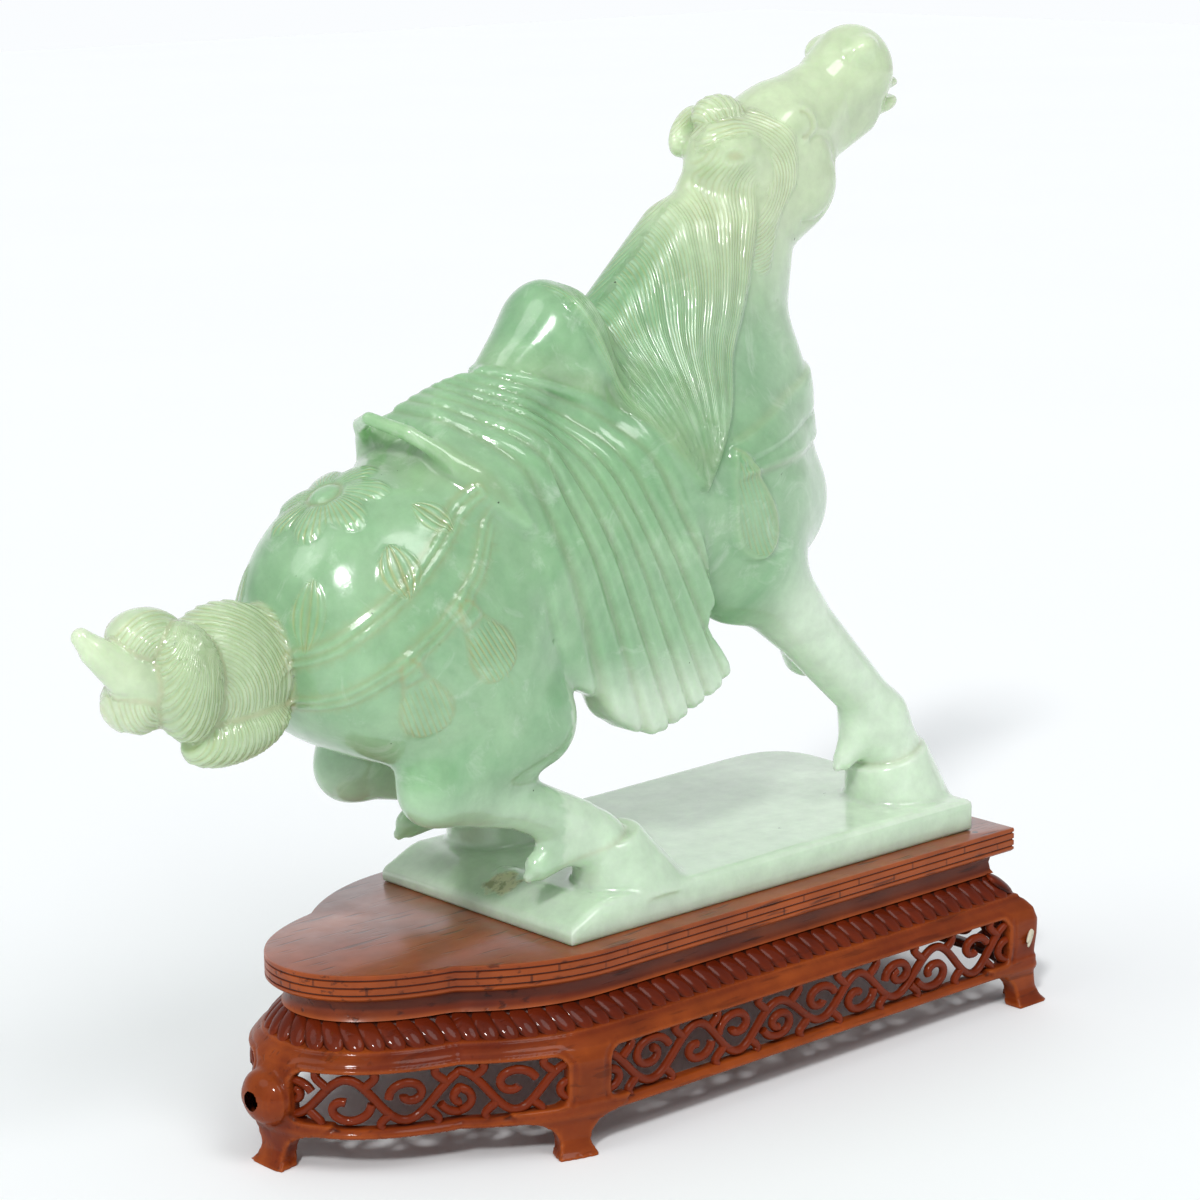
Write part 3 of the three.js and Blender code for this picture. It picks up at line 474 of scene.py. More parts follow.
    onTail = ramp(-52, -54, x) * (z > 90) * (z < 140)
    gap, count, second = tailStrands(p)
    onTail = onTail * ramp(1.9, 0.9, gap)
    hairy = onTail * ramp(0.3, 1.0, second - gap)
    comb = 0.5 + 0.5 * np.cos(np.pi * count)
    lift -= hairy * 0.5 * comb
    strand = np.where(hairy > 0.01, count, strand)
    hair = np.where(onTail > 0.01, hairy * (count != 0), hair)
    stain += onTail * 0.35 * ramp(0.9, 0.2, second - gap)

    forelock = ramp(1.0, 0.2, egg(p, (80.5, 0, 228.4), (7.2, 5.4, 4.9), 4)) * (z > 226.5)
    strand = np.where(forelock > 0.1, np.arctan2(x - 80, z - 219) * 12, strand)
    hair = np.where(forelock > 0.1, forelock, hair)
    lift -= forelock * 0.5 * (0.5 + 0.5 * np.cos(np.arctan2(x - 80, z - 219) * 12 * np.pi))

    eye = np.hypot(x - 97, (z - 225.5) * 1.25)
    side = (np.abs(y) > 7) & (x > 97)
    lid, cut = np.exp(-((eye - 5) / 0.8) ** 2), np.exp(-((eye - 3.8) / 0.6) ** 2)
    lift += np.where(side, 0.3 * lid - 0.35 * cut, 0)
    stain += np.where(side, 0.2 * cut, 0)
    jaw = np.abs(np.hypot(x - 103, z - 212) - 10.5)
    onJaw = (np.abs(y) > 5) & (x > 100) & (z < 224)
    lift -= np.where(onJaw, 0.5 * np.exp(-(jaw / 0.8) ** 2), 0)

    for middleX, height, rise in (hindCrown, foreCrown):
        below = height + rise * (x - middleX) - z
        onHoof = (np.abs(x - middleX) < 20) & (z > slabTop + 1)
        stain += np.where(onHoof, 0.25 * np.exp(-((below + 0.6) / 0.6) ** 2), 0)
    return lift, np.clip(stain, 0, 1), strand, hair


# Meshing: only the cells near the surface are worked out
grid = dict(step=0.62, coarse=3.1, reach=2.4)


def carve(field, low, high, step, coarse):
    low = np.array(low, float)
    n = np.ceil((np.array(high) - low) / step).astype(int) + 1
    ratio = int(round(coarse / step))
    blocks = n // ratio + 1
    centres = np.stack(np.meshgrid(*[np.arange(b) for b in blocks], indexing="ij"), -1).reshape(-1, 3)
    where = low + (centres + 0.5) * ratio * step
    near = np.abs(inChunks(field, where)) < coarse * 0.9 + grid["reach"]
    valid = np.zeros(blocks, bool)
    valid[tuple(centres[near].T)] = True
    full = np.repeat(np.repeat(np.repeat(valid, ratio, 0), ratio, 1), ratio, 2)[:n[0], :n[1], :n[2]]
    # halve the blocks once more before the fine pass
    sub = 2
    small = full[::sub, ::sub, ::sub]
    idx = np.argwhere(small)
    v = inChunks(field, low + (idx * sub + 0.5 * sub) * step)
    keep = np.abs(v) < sub * step * 0.87 + 1.6 * step + 0.9
    band = np.zeros(small.shape, bool)
    band[tuple(idx[keep].T)] = True
    full = np.repeat(np.repeat(np.repeat(band, sub, 0), sub, 1), sub, 2)[:n[0], :n[1], :n[2]]
    grown = full.copy()
    grown[1:] |= full[:-1]
    grown[:, 1:] |= grown[:, :-1]
    grown[:, :, 1:] |= grown[:, :, :-1]
    idx = np.argwhere(grown)
    values = np.full(n, np.nan, np.float32)
    values[tuple(idx.T)] = inChunks(field, low + idx * step)
    return surfaceNet(values, low, step)


def inChunks(field, points, size=120000):
    out = np.empty(len(points), np.float32)
    for i in range(0, len(points), size):
        part = points[i:i + size].astype(np.float32)
        out[i:i + size] = field((part[:, 0], part[:, 1], part[:, 2]))
    return out


def surfaceNet(values, low, step):
    n = np.array(values.shape)
    inside = values < 0
    known = ~np.isnan(values)
    count = np.zeros(n - 1, np.int8)
    allKnown = np.ones(n - 1, bool)
    for a in range(2):
        for b in range(2):
            for c in range(2):
                window = (slice(a, n[0] - 1 + a), slice(b, n[1] - 1 + b), slice(c, n[2] - 1 + c))
                count += inside[window]
                allKnown &= known[window]
    active = (count > 0) & (count < 8) & allKnown
    cells = np.argwhere(active)
    number = np.full(n - 1, -1, np.int32)
    number[tuple(cells.T)] = np.arange(len(cells))
    total = np.zeros((len(cells), 3))
    hits = np.zeros(len(cells))
    corners = [(a, b, c) for a in (0, 1) for b in (0, 1) for c in (0, 1)]
    for a in corners:
        for b in corners:
            if b <= a or sum(abs(i - j) for i, j in zip(a, b)) != 1:
                continue
            va = values[tuple((cells + a).T)]
            vb = values[tuple((cells + b).T)]
            crossing = (va < 0) != (vb < 0)
            t = np.where(crossing, va / np.where(crossing, va - vb, 1), 0)
            total += np.where(crossing[:, None], np.array(a) + t[:, None] * (np.array(b) - np.array(a)), 0)
            hits += crossing
    verts = low + step * (cells + total / hits[:, None])
    quads = []
    for k in range(3):
        others = [i for i in range(3) if i != k]
        lower = [slice(None)] * 3
        upper = [slice(None)] * 3
        lower[k], upper[k] = slice(0, n[k] - 1), slice(1, n[k])
        first, second = inside[tuple(lower)], inside[tuple(upper)]
        both = known[tuple(lower)] & known[tuple(upper)]
        edges = np.argwhere((first != second) & both)
        free = np.all([(edges[:, o] > 0) & (edges[:, o] < n[o] - 1) for o in others], 0)
        edges = edges[free]
        sign = first[tuple(edges.T)] ^ (k == 1)
        ring = []
        for d0, d1 in ((-1, -1), (0, -1), (0, 0), (-1, 0)):
            q = edges.copy()
            q[:, others[0]] += d0
            q[:, others[1]] += d1
            ring.append(number[tuple(q.T)])
        ring = np.stack(ring, 1)
        quads.append(np.where(sign[:, None], ring, ring[:, ::-1]))
    quads = np.concatenate(quads)
    return verts, quads[np.all(quads >= 0, 1)]


def toFrame(points):
    return (np.asarray(points, float) + (frameShift, 0, 0)) / 1000


def fromFrame(points):
    return np.asarray(points, float) * 1000 - (frameShift, 0, 0)


def meshPiece(name, verts, faces, smooth=True):
    mesh = bpy.data.meshes.new(name)
    sides = faces.shape[1]
    mesh.vertices.add(len(verts))
    mesh.vertices.foreach_set("co", toFrame(verts).astype(np.float32).ravel())
    mesh.loops.add(faces.size)
    mesh.loops.foreach_set("vertex_index", faces.astype(np.int32).ravel())
    mesh.polygons.add(len(faces))
    mesh.polygons.foreach_set("loop_start", np.arange(0, faces.size, sides, dtype=np.int32))
    mesh.update(calc_edges=True)
    mesh.validate()
    mesh.polygons.foreach_set("use_smooth", np.full(len(mesh.polygons), smooth))
    piece = bpy.data.objects.new(name, mesh)
    bpy.context.scene.collection.objects.link(piece)
    return piece


def settle(piece):
    # keep what the modifiers make as a plain mesh
    graph = bpy.context.evaluated_depsgraph_get()
    made = bpy.data.meshes.new_from_object(piece.evaluated_get(graph))
    piece.modifiers.clear()
    old = piece.data
    piece.data = made
    if old.users == 0 and isinstance(old, bpy.types.Mesh):
        bpy.data.meshes.remove(old)
    return piece


def thinTo(piece, triangles):
    now = sum(len(f.vertices) - 2 for f in piece.data.polygons)
    if now > triangles:
        cut = piece.modifiers.new("thin", "DECIMATE")
        cut.ratio = triangles / now
        cut.use_collapse_triangulate = True
        settle(piece)
    return piece


def store(mesh, name, values):
    layer = mesh.attributes.new(name, "FLOAT", "POINT")
    layer.data.foreach_set("value", np.asarray(values, np.float32))


def vertexPoints(mesh):
    co = np.empty(len(mesh.vertices) * 3, np.float32)
    mesh.vertices.foreach_get("co", co)
    return fromFrame(co.reshape(-1, 3))


roughSpot = dict(centre=(6.2, -3.4, 52.6), half=(5.2, 6.4, 9))


def makeHorse():
    placeOrnaments()
    report("ornaments placed")

    def whole(p):
        return horseField(p) - carving(p)[0]

    verts, quads = carve(whole, (-112, -40, board["top"] - 2), (146, 42, 252), grid["step"], grid["coarse"])
    report(f"horse carved, {len(quads)} faces")
    piece = thinTo(meshPiece("jadeHorse", verts, quads), 190000)
    p = vertexPoints(piece.data).astype(np.float32)
    at = (p[:, 0], p[:, 1], p[:, 2])
    lift, stain, strand, hair = carving(at)
    store(piece.data, "stain", stain)
    store(piece.data, "strand", strand)
    store(piece.data, "hair", hair)
    # legs, muzzle, hem and the tip of the tail are paler than the body; a painted highlight is added over the
    # upper neck, and the slab is lightened all over as painted light
    x, z = p[:, 0], p[:, 2]
    pale = np.maximum.reduce([
        0.5 * ramp(66, 92, x) * (z > 110),
        1.1 * ramp(134, 108, z) * ramp(66, 84, x) * (z > slabTop - 1),
        0.55 * ramp(92, 74, z) * (z > slabTop - 1) * (x > -40) * (x < 60),
        # painted highlight on the upper neck
        0.5 * ramp(104, 122, x) * (z > 195),
        0.3 * ramp(150, 185, z) * ramp(45, 70, x),
        0.8 * ramp(-88, -98, x),
        0.9 * ramp(114, 95, z) * (x > 5) * (x < 62),
        # painted light: the whole slab is lightened
        0.85 * (z < slabTop + 0.3)])
    warm = np.maximum(0.9 * ramp(172, 212, z) * ramp(40, 70, x), 0.75 * ramp(2.2, 0.6, tailStrands(at)[0]))
    store(piece.data, "warm", warm)
    store(piece.data, "pale", pale)
    report("horse finished")
    return piece


# The stand. A half plan runs from the middle of the front end (0) along the near side to
# the tip of the rear lobe, and the far side mirrors it
cornerAt = board["half"]
bendStart = cornerAt + board["front"] - board["straightEnd"]
rearCurve = np.concatenate([
    bezier((board["straightEnd"], -board["half"]), (-8, -board["half"]), (-20, -34),
           (board["cuspX"], -board["cuspHalf"]), 400),
    bezier((board["cuspX"], -board["cuspHalf"]), (-37, -25), (board["lobeTip"], -17),
           (board["lobeTip"], 0), 400)[1:]])
rearLength = np.concatenate([[0], np.cumsum(np.hypot(*np.diff(rearCurve, axis=0).T))])
halfLength = bendStart + rearLength[-1]


def planAt(s):
    s = np.atleast_1d(np.asarray(s, float))
    wrapped = np.mod(s, 2 * halfLength)
    far = wrapped > halfLength
    along = np.where(far, 2 * halfLength - wrapped, wrapped)
    r = along - bendStart
    x = np.where(along < cornerAt, board["front"], board["front"] + cornerAt - along)
    y = np.where(along < cornerAt, -along, -board["half"])
    nx = np.where(along < cornerAt + 1e-4, 1.0, 0.0)
    ny = np.where(along > cornerAt - 1e-4, -1.0, 0.0)
    rx, ry = (np.interp(r, rearLength, rearCurve[:, k]) for k in (0, 1))
    ax, ay = (np.interp(r - 1.2, rearLength, rearCurve[:, k]) for k in (0, 1))
    bx, by = (np.interp(r + 1.2, rearLength, rearCurve[:, k]) for k in (0, 1))
    tx, ty = bx - ax, by - ay
    tip = r > rearLength[-1] - 1e-3
    tx, ty = np.where(tip, 0, tx), np.where(tip, 1, ty)
    size = np.hypot(tx, ty) + 1e-9
    bent = r > 0
    x, y = np.where(bent, rx, x), np.where(bent, ry, y)
    nx, ny = np.where(bent, -ty / size, nx), np.where(bent, tx / size, ny)
    side = np.where(far, -1, 1)
    return x, y * side, nx, ny * side


def place(s, out, z):
    x, y, nx, ny = planAt(s)
    return np.stack([x + nx * out, y + ny * out, np.broadcast_to(z, x.shape)], -1)


def stations(spacing):
    runs = ((0, cornerAt, spacing), (cornerAt, bendStart, spacing),
            (bendStart, halfLength, min(spacing, 1.5)))
    half = np.concatenate([
        np.linspace(start, end, max(int((end - start) / step), 1), endpoint=False)
        for start, end, step in runs])
    return np.concatenate([half, [halfLength], 2 * halfLength - half[:0:-1]])


def ringPiece(name, profile, spacing, closed=False):
    # rings of (offset outwards, height) round the plan; the uv map holds arc length and
    # height in metres
    s = stations(spacing)
    n, rows = len(s), len(profile)
    verts = np.concatenate([place(s, out, z) for out, z in profile])
    i = np.arange(n)
    j = (i + 1) % n
    quads = [np.stack([r * n + i, r * n + j, (r + 1) % rows * n + j, (r + 1) % rows * n + i], 1)
             for r in range(rows if closed else rows - 1)]
    uvs = []
    nextS = np.append(s[1:], 2 * halfLength)
    for r in range(rows if closed else rows - 1):
        z0, z1 = profile[r][1], profile[(r + 1) % rows][1]
        below, above = np.full(n, z0), np.full(n, z1)
        uvs.append(np.stack([s, below, nextS, below, nextS, above, s, above], 1))
    piece = meshPiece(name, verts, np.concatenate(quads))
    layer = piece.data.uv_layers.new(name="around")
    layer.data.foreach_set("uv", (np.concatenate(uvs) / 1000).astype(np.float32).ravel())
    if not closed:
        capEnds(piece, n, rows)
    return piece


def capEnds(piece, n, rows):
    bm = bmesh.new()
    bm.from_mesh(piece.data)
    bm.verts.ensure_lookup_table()
    for r in (0, rows - 1):
        hub = bm.verts.new(toFrame([(-8, 0, fromFrame([bm.verts[r * n].co])[0][2])])[0])
        bm.verts.ensure_lookup_table()
        for i in range(n):
            a, b = bm.verts[r * n + i], bm.verts[r * n + (i + 1) % n]
            face = bm.faces.new((hub, b, a) if r == 0 else (hub, a, b))
            face.smooth = False
            for loop in face.loops:
                loop[bm.loops.layers.uv.active].uv = (loop.vert.co.x, loop.vert.co.y)
    bm.to_mesh(piece.data)
    bm.free()


def sharpen(piece, degrees):
    # keep crisp arrises where faces meet at more than the given angle
    piece.data.set_sharp_from_angle(angle=math.radians(degrees))
    return piece


# Board: a flat top, an edge with three cut lines, and a waist drawn in below
def makeBoard():
    top, edge = board["top"], board["top"] - board["edge"]
    profile = [(-0.5, top), (-0.1, top - 0.12), (0, top - 0.5)]
    for z in (top - 1.35, top - 3.1, top - 4.85):
        profile += [(0, z + 0.26), (-0.28, z + 0.1), (-0.28, z - 0.1), (0, z - 0.26)]
    profile += [(0, edge + 0.5), (-0.5, edge), (-3.2, edge)]
    profile += [(-4.1, edge - 1.2), (-4.5, edge - 3), (-4.2, 35), (-3.6, 34)]
    return sharpen(ringPiece("standBoard", profile, 4.5), 32)


# Base: an apron with a swelling profile, pierced panels, five bracket feet
base = dict(top=33.7, sill=9.2, openBottom=11.2, openTop=24.0, wall=3.9, spread=11.5, corner=3.2)
panels = [(-1e3, cornerAt - 8), (cornerAt + 6, bendStart + 5), (bendStart + 15.5, halfLength - 5.5)]
feet = [(cornerAt, base["spread"]), (bendStart + 14, 12), (halfLength, 12)]
tableLow, tableHigh, tableStep = np.array((-70.0, 0.0)), np.array((160.0, 60.0)), 0.5


def makePlanTable():
    # for points of the plan: nearest arc length and distance outside it
    xs = np.arange(tableLow[0], tableHigh[0], tableStep)
    ys = np.arange(tableLow[1], tableHigh[1], tableStep)
    gx, gy = np.meshgrid(xs, ys, indexing="ij")
    s = np.linspace(0, halfLength, 700)
    px, py, nx, ny = planAt(s)
    py = -py
    sx, sy = gx.ravel(), gy.ravel()
    bestS = np.empty(sx.shape)
    bestD = np.empty(sx.shape)
    for i in range(0, len(sx), 20000):
        q = slice(i, i + 20000)
        d = (sx[q, None] - px) ** 2 + (sy[q, None] - py) ** 2
        k = d.argmin(1)
        bestS[q] = s[k]
        bestD[q] = np.sqrt(d[np.arange(len(k)), k])
    beyond = (gx > board["front"]) & (gy > board["half"])
    mitre = ((gx - board["front"]).clip(0) ** 5 + (gy - board["half"]).clip(0) ** 5) ** 0.2
    outline = list(zip(px[::3], py[::3])) + [(px[-1], 0.0), (px[-1], -5.0), (board["front"], -5.0)]
    inside = outlineDistance([tuple(map(float, q)) for q in outline], sx, sy) < 0
    out = (np.where(inside, -1, 1) * bestD).reshape(gx.shape)
    return bestS.reshape(gx.shape), np.where(beyond, mitre, out)


def lookUp(tables, x, y):
    fx = np.clip((x - tableLow[0]) / tableStep, 0, tables[0].shape[0] - 1.001)
    fy = np.clip((np.abs(y) - tableLow[1]) / tableStep, 0, tables[0].shape[1] - 1.001)
    i, j = fx.astype(int), fy.astype(int)
    a, b = fx - i, fy - j
    out = []
    for table in tables:
        out.append((table[i, j] * (1 - a) * (1 - b) + table[i + 1, j] * a * (1 - b)
                    + table[i, j + 1] * (1 - a) * b + table[i + 1, j + 1] * a * b).astype(np.float32))
    return out


def apronOffset(z):
    return np.interp(z, [5, 8, 13, 18, 22, 25, 27, 28.4], [3.9, 4.1, 4.5, 5.0, 5.1, 4.2, 2.4, -0.2])


def panelDistance(s, z):
    best = np.full(s.shape, 1e3, np.float32)
    halfTall = (base["openTop"] - base["openBottom"]) / 2
    dz = np.abs(z - base["openBottom"] - halfTall) - halfTall + base["corner"]
    for start, end in panels:
        dx = np.abs(s - (start + end) / 2) - (end - start) / 2 + base["corner"]
        d = np.hypot(np.maximum(dx, 0), np.maximum(dz, 0)) + np.minimum(np.maximum(dx, dz), 0)
        best = np.minimum(best, d - base["corner"])
    return best


def standField(p, tables):
    x, y, z = p
    s, out = lookUp(tables, x, y)
    face = apronOffset(z)
    opening = panelDistance(s, z)
    groove = 0.35 * np.exp(-((opening - 1.5) / 0.4) ** 2)
    wall = np.maximum(out - face + groove, face - base["wall"] - out)
    wall = np.maximum(wall, np.maximum(base["sill"] - z, z - 28.2))
    wall = meet(wall, -opening, 1.0)
    roof = np.maximum(z - base["top"], 26.6 - z)
    roof = np.maximum(roof, out - np.interp(z, [26.6, 28.4, base["top"]], [1.4, -0.2, -4.4]))
    d = join(wall, roof, 1.0)
    for bead, reach, size in ((27.8, 0.5, 0.75), (base["sill"] + 0.5, 4.2, 0.7)):
        d = join(d, np.hypot(z - bead, out - reach) - size, 0.6)
    for centre, spread in feet:
        half = np.interp(z, [-0.5, 0.6, 1.8, 3.4, 5.0, 6.6, 8.2, 9.6, 12],
                         [4.6, 4.4, 3.8, 3.5, 3.9, 5.0, spread * 0.62, spread * 0.9, spread * 1.2])
        away = np.abs(s - centre) - half
        middle = np.interp(z, [0, 1.5, 4, 8, 12], [4.3, 3.3, 2.5, 2.5, 2.9])
        thick = np.interp(z, [0, 1.5, 4, 8, 12], [2.9, 2.5, 2.3, 2.0, 1.9])
        foot = np.maximum(np.maximum(away, np.abs(out - middle) - thick), np.maximum(0.0 - z, z - 12))
        d = join(d, foot * 0.8, 1.2)
    # the rear foot has a knee that swells out of the apron
    knee = np.sqrt(((s - halfLength) / 6) ** 2 + ((out - 5.3) / 5) ** 2 + ((z - 16.5) / 6.5) ** 2)
    groove = 0.5 * np.exp(-((knee - 0.72) / 0.1) ** 2)
    d = join(d, (knee - 1) * 3.6 + groove, 1.2)
    return np.maximum(d, -z)


def makeBase():
    tables = makePlanTable()
    verts, quads = carve(lambda p: standField(p, tables), (-66, -54, -1.5), (154, 54, 35), 0.55, 3.3)
    report(f"stand carved, {len(quads)} faces")
    piece = thinTo(meshPiece("standBase", verts, quads), 120000)
    # painted shade: groove darkens the lacquer near close walls, under the gadroon lobes and on the apron's
    # inner faces
    p = vertexPoints(piece.data)
    normals = np.empty(len(p) * 3, np.float32)
    piece.data.vertex_normals.foreach_get("vector", normals)
    ahead = p + normals.reshape(-1, 3) * 2.2
    closed = 1 - inChunks(lambda q: standField(q, tables), ahead) / 2.2
    s, out = lookUp(tables, p[:, 0], p[:, 1])
    underLobes = ramp(28.7, 29.4, p[:, 2]) * (out < 2)
    within = ramp(1.6, 0.0, out) * (p[:, 2] < 26.5)
    store(piece.data, "groove", np.maximum.reduce([ramp(0.1, 0.9, closed), underLobes, within]))
    return piece


# Gadroons: slanted lobes repeated round the moulding by geometry nodes
gadroon = dict(spacing=4.4, halfWidth=2.7, halfThick=1.2, halfLength=5.0, slant=0.48, tilt=0.82,
               out=-2.7, height=31)


def closedCurve(name, points):
    curve = bpy.data.curves.new(name, "CURVE")
    curve.dimensions = "3D"
    spline = curve.splines.new("POLY")
    spline.points.add(len(points) - 1)
    for point, where in zip(spline.points, toFrame(points)):
        point.co = (*where, 1)
    spline.use_cyclic_u = True
    piece = bpy.data.objects.new(name, curve)
    bpy.context.scene.collection.objects.link(piece)
    return piece


def newTree(name, inputs):
    tree = bpy.data.node_groups.new(name, "GeometryNodeTree")
    tree.interface.new_socket("Geometry", in_out="INPUT", socket_type="NodeSocketGeometry")
    for label, kind, value in inputs:
        socket = tree.interface.new_socket(label, in_out="INPUT", socket_type=kind)
        if value is not None:
            socket.default_value = value
    tree.interface.new_socket("Geometry", in_out="OUTPUT", socket_type="NodeSocketGeometry")
    return tree, tree.nodes.new("NodeGroupInput"), tree.nodes.new("NodeGroupOutput")


def finishTree(tree, made, material, goOut):
    realize = tree.nodes.new("GeometryNodeRealizeInstances")
    smooth = tree.nodes.new("GeometryNodeSetShadeSmooth")
    paint = tree.nodes.new("GeometryNodeSetMaterial")
    tree.links.new(made, realize.inputs[0])
    tree.links.new(realize.outputs[0], smooth.inputs[0])
    tree.links.new(smooth.outputs[0], paint.inputs[0])
    tree.links.new(material, paint.inputs["Material"])
    tree.links.new(paint.outputs[0], goOut.inputs[0])


def runTree(piece, tree, values, name):
    change = piece.modifiers.new("grow", "NODES")
    change.node_group = tree
    for item in tree.interface.items_tree:
        if item.in_out == "INPUT" and item.name in values:
            change[item.identifier] = values[item.name]
    graph = bpy.context.evaluated_depsgraph_get()
    mesh = bpy.data.meshes.new_from_object(piece.evaluated_get(graph))
    piece.modifiers.clear()
    made = bpy.data.objects.new(name, mesh)
    bpy.context.scene.collection.objects.link(made)
    bpy.data.objects.remove(piece)
    return made


def makeGadroons(material):
    s = stations(2.0)
    guide = closedCurve("gadroonGuide", place(s, gadroon["out"], gadroon["height"]))
    tree, comeIn, goOut = newTree("gadroonBand", [
        ("Spacing", "NodeSocketFloat", 0.0047), ("Lobe Size", "NodeSocketVector", None),
        ("Slant", "NodeSocketFloat", 0.4), ("Tilt", "NodeSocketFloat", 0.8),
        ("Material", "NodeSocketMaterial", None)])
    n, link = tree.nodes, tree.links.new
    resample = n.new("GeometryNodeResampleCurve")
    resample.mode = "LENGTH"
    link(comeIn.outputs["Geometry"], resample.inputs["Curve"])
    link(comeIn.outputs["Spacing"], resample.inputs["Length"])
    ball = n.new("GeometryNodeMeshUVSphere")
    ball.inputs["Segments"].default_value = 14
    ball.inputs["Rings"].default_value = 9
    ball.inputs["Radius"].default_value = 1
    # painted shade: each lobe's |x| is stored as groove, so the lacquer darkens its sides where it meets its
    # neighbours
    where, split = n.new("GeometryNodeInputPosition"), n.new("ShaderNodeSeparateXYZ")
    side, keep = n.new("ShaderNodeMath"), n.new("GeometryNodeStoreNamedAttribute")
    side.operation = "ABSOLUTE"
    keep.inputs["Name"].default_value = "groove"
    link(where.outputs[0], split.inputs[0])
    link(split.outputs["X"], side.inputs[0])
    link(ball.outputs["Mesh"], keep.inputs["Geometry"])
    link(side.outputs[0], keep.inputs["Value"])
    slantBy, tiltBy = n.new("ShaderNodeCombineXYZ"), n.new("ShaderNodeCombineXYZ")
    link(comeIn.outputs["Slant"], slantBy.inputs["Y"])
    link(comeIn.outputs["Tilt"], tiltBy.inputs["X"])
    shape, lean = n.new("GeometryNodeTransform"), n.new("GeometryNodeTransform")
    link(keep.outputs["Geometry"], shape.inputs["Geometry"])
    link(comeIn.outputs["Lobe Size"], shape.inputs["Scale"])
    link(slantBy.outputs[0], shape.inputs["Rotation"])
    link(shape.outputs[0], lean.inputs["Geometry"])
    link(tiltBy.outputs[0], lean.inputs["Rotation"])
    tangent = n.new("GeometryNodeInputTangent")
    axes = n.new("FunctionNodeAxesToRotation")
    axes.primary_axis, axes.secondary_axis = "Z", "X"
    axes.inputs[0].default_value = (0, 0, 1)
    link(tangent.outputs[0], axes.inputs[1])
    onPoints = n.new("GeometryNodeInstanceOnPoints")
    link(resample.outputs[0], onPoints.inputs["Points"])
    link(lean.outputs[0], onPoints.inputs["Instance"])
    link(axes.outputs[0], onPoints.inputs["Rotation"])
    finishTree(tree, onPoints.outputs[0], comeIn.outputs["Material"], goOut)
    size = [gadroon[k] / 1000 for k in ("halfWidth", "halfThick", "halfLength")]
    values = {"Spacing": gadroon["spacing"] / 1000, "Lobe Size": size, "Slant": gadroon["slant"],
              "Tilt": gadroon["tilt"], "Material": material}
    return runTree(guide, tree, values, "gadroons")


# Scrollwork: curling vines drawn flat in arc length and height, then bent round the apron
vine = dict(radius=1.08, out=3.0, pitch=13.5, swing=0.36, bud=1.9)


def panelVines(start, end):
    # one wavy stem, a volute in each bay, and short leaves that tie the crests to the frame
    low, high = base["openBottom"], base["openTop"]
    middle, tall = (low + high) / 2, high - low
    bays = max(int(round((end - start) / vine["pitch"])), 2)
    pitch = (end - start) / bays
    t = np.linspace(0, bays, bays * 14 + 1)
    wobble = 0.5 * np.sin(2.3 * t + start) + 0.3 * np.sin(5.1 * t)
    lines = [np.stack([start + t * pitch, middle + vine["swing"] * tall * np.cos(np.pi * t) + wobble], 1)]
    for b in range(bays + 1):
        flip = 1 if b % 2 == 0 else -1
        sway = math.sin(2.7 * b + start)
        here = start + b * pitch + 0.6 * sway
        turns = 1.0 + 0.22 * math.sin(1.9 * b + start)
        turn = np.linspace(0, 2 * np.pi * turns, 28)
        reach = (1 + 0.12 * sway) * (1 - 0.72 * (turn / turn[-1]) ** 0.8)
        way = 1 if (b // 2) % 2 == 0 else -1
        angle = math.pi - flip * way * 0.2
        curl = np.stack([way * np.cos(angle + turn) * pitch * 0.40,
                         np.sin(angle + turn) * flip * tall * 0.31], 1)
        curl = curl * reach[:, None] + (here, middle - flip * (0.10 * tall + 0.3 * sway))
        inside = (curl[:, 0] > start - 0.4) & (curl[:, 0] < end + 0.4)
        if inside.sum() > 8:
            lines.append(curl[inside])
        for side in (-1, 1):
            leaf = np.linspace(0, 1, 9)
            root = here + side * pitch * 0.30
            along = root + side * pitch * 0.20 * np.sin(leaf * 2.2)
            up = middle + flip * tall * (0.22 + 0.30 * leaf ** 0.8)
            leafLine = np.stack([along, up], 1)
            if start < root < end:
                lines.append(leafLine)
    return lines


def makeVines(material):
    curve = bpy.data.curves.new("vineGuide", "CURVE")
    curve.dimensions = "3D"
    front = (-cornerAt + 8, cornerAt - 8)
    runs = [front] + [(a, b) for a, b in panels[1:]] + [(-b, -a) for a, b in panels[1:]]
    for start, end in runs:
        for line in panelVines(start - 0.8, end + 0.8):
            points = toFrame(place(line[:, 0], vine["out"] + 0 * line[:, 0], line[:, 1]))
            spline = curve.splines.new("POLY")
            spline.points.add(len(points) - 1)
            for k, (point, where) in enumerate(zip(spline.points, points)):
                point.co = (*where, 1)
                point.radius = 1.0 if len(points) > 36 else 1.0 - 0.3 * k / len(points)
            if len(points) in range(20, 36):
                spline.points[-1].radius = spline.points[-2].radius = vine["bud"] * 0.8
    guide = bpy.data.objects.new("vineGuide", curve)
    bpy.context.scene.collection.objects.link(guide)
    tree, comeIn, goOut = newTree("vineRods", [
        ("Radius", "NodeSocketFloat", 0.00125), ("Material", "NodeSocketMaterial", None)])
    n, link = tree.nodes, tree.links.new
    ring = n.new("GeometryNodeCurvePrimitiveCircle")
    ring.inputs["Resolution"].default_value = 8
    link(comeIn.outputs["Radius"], ring.inputs["Radius"])
    sweep = n.new("GeometryNodeCurveToMesh")
    link(comeIn.outputs["Geometry"], sweep.inputs["Curve"])
    link(ring.outputs["Curve"], sweep.inputs["Profile Curve"])
    sweep.inputs["Fill Caps"].default_value = True
    finishTree(tree, sweep.outputs[0], comeIn.outputs["Material"], goOut)
    return runTree(guide, tree, {"Radius": vine["radius"] / 1000, "Material": material}, "vines")


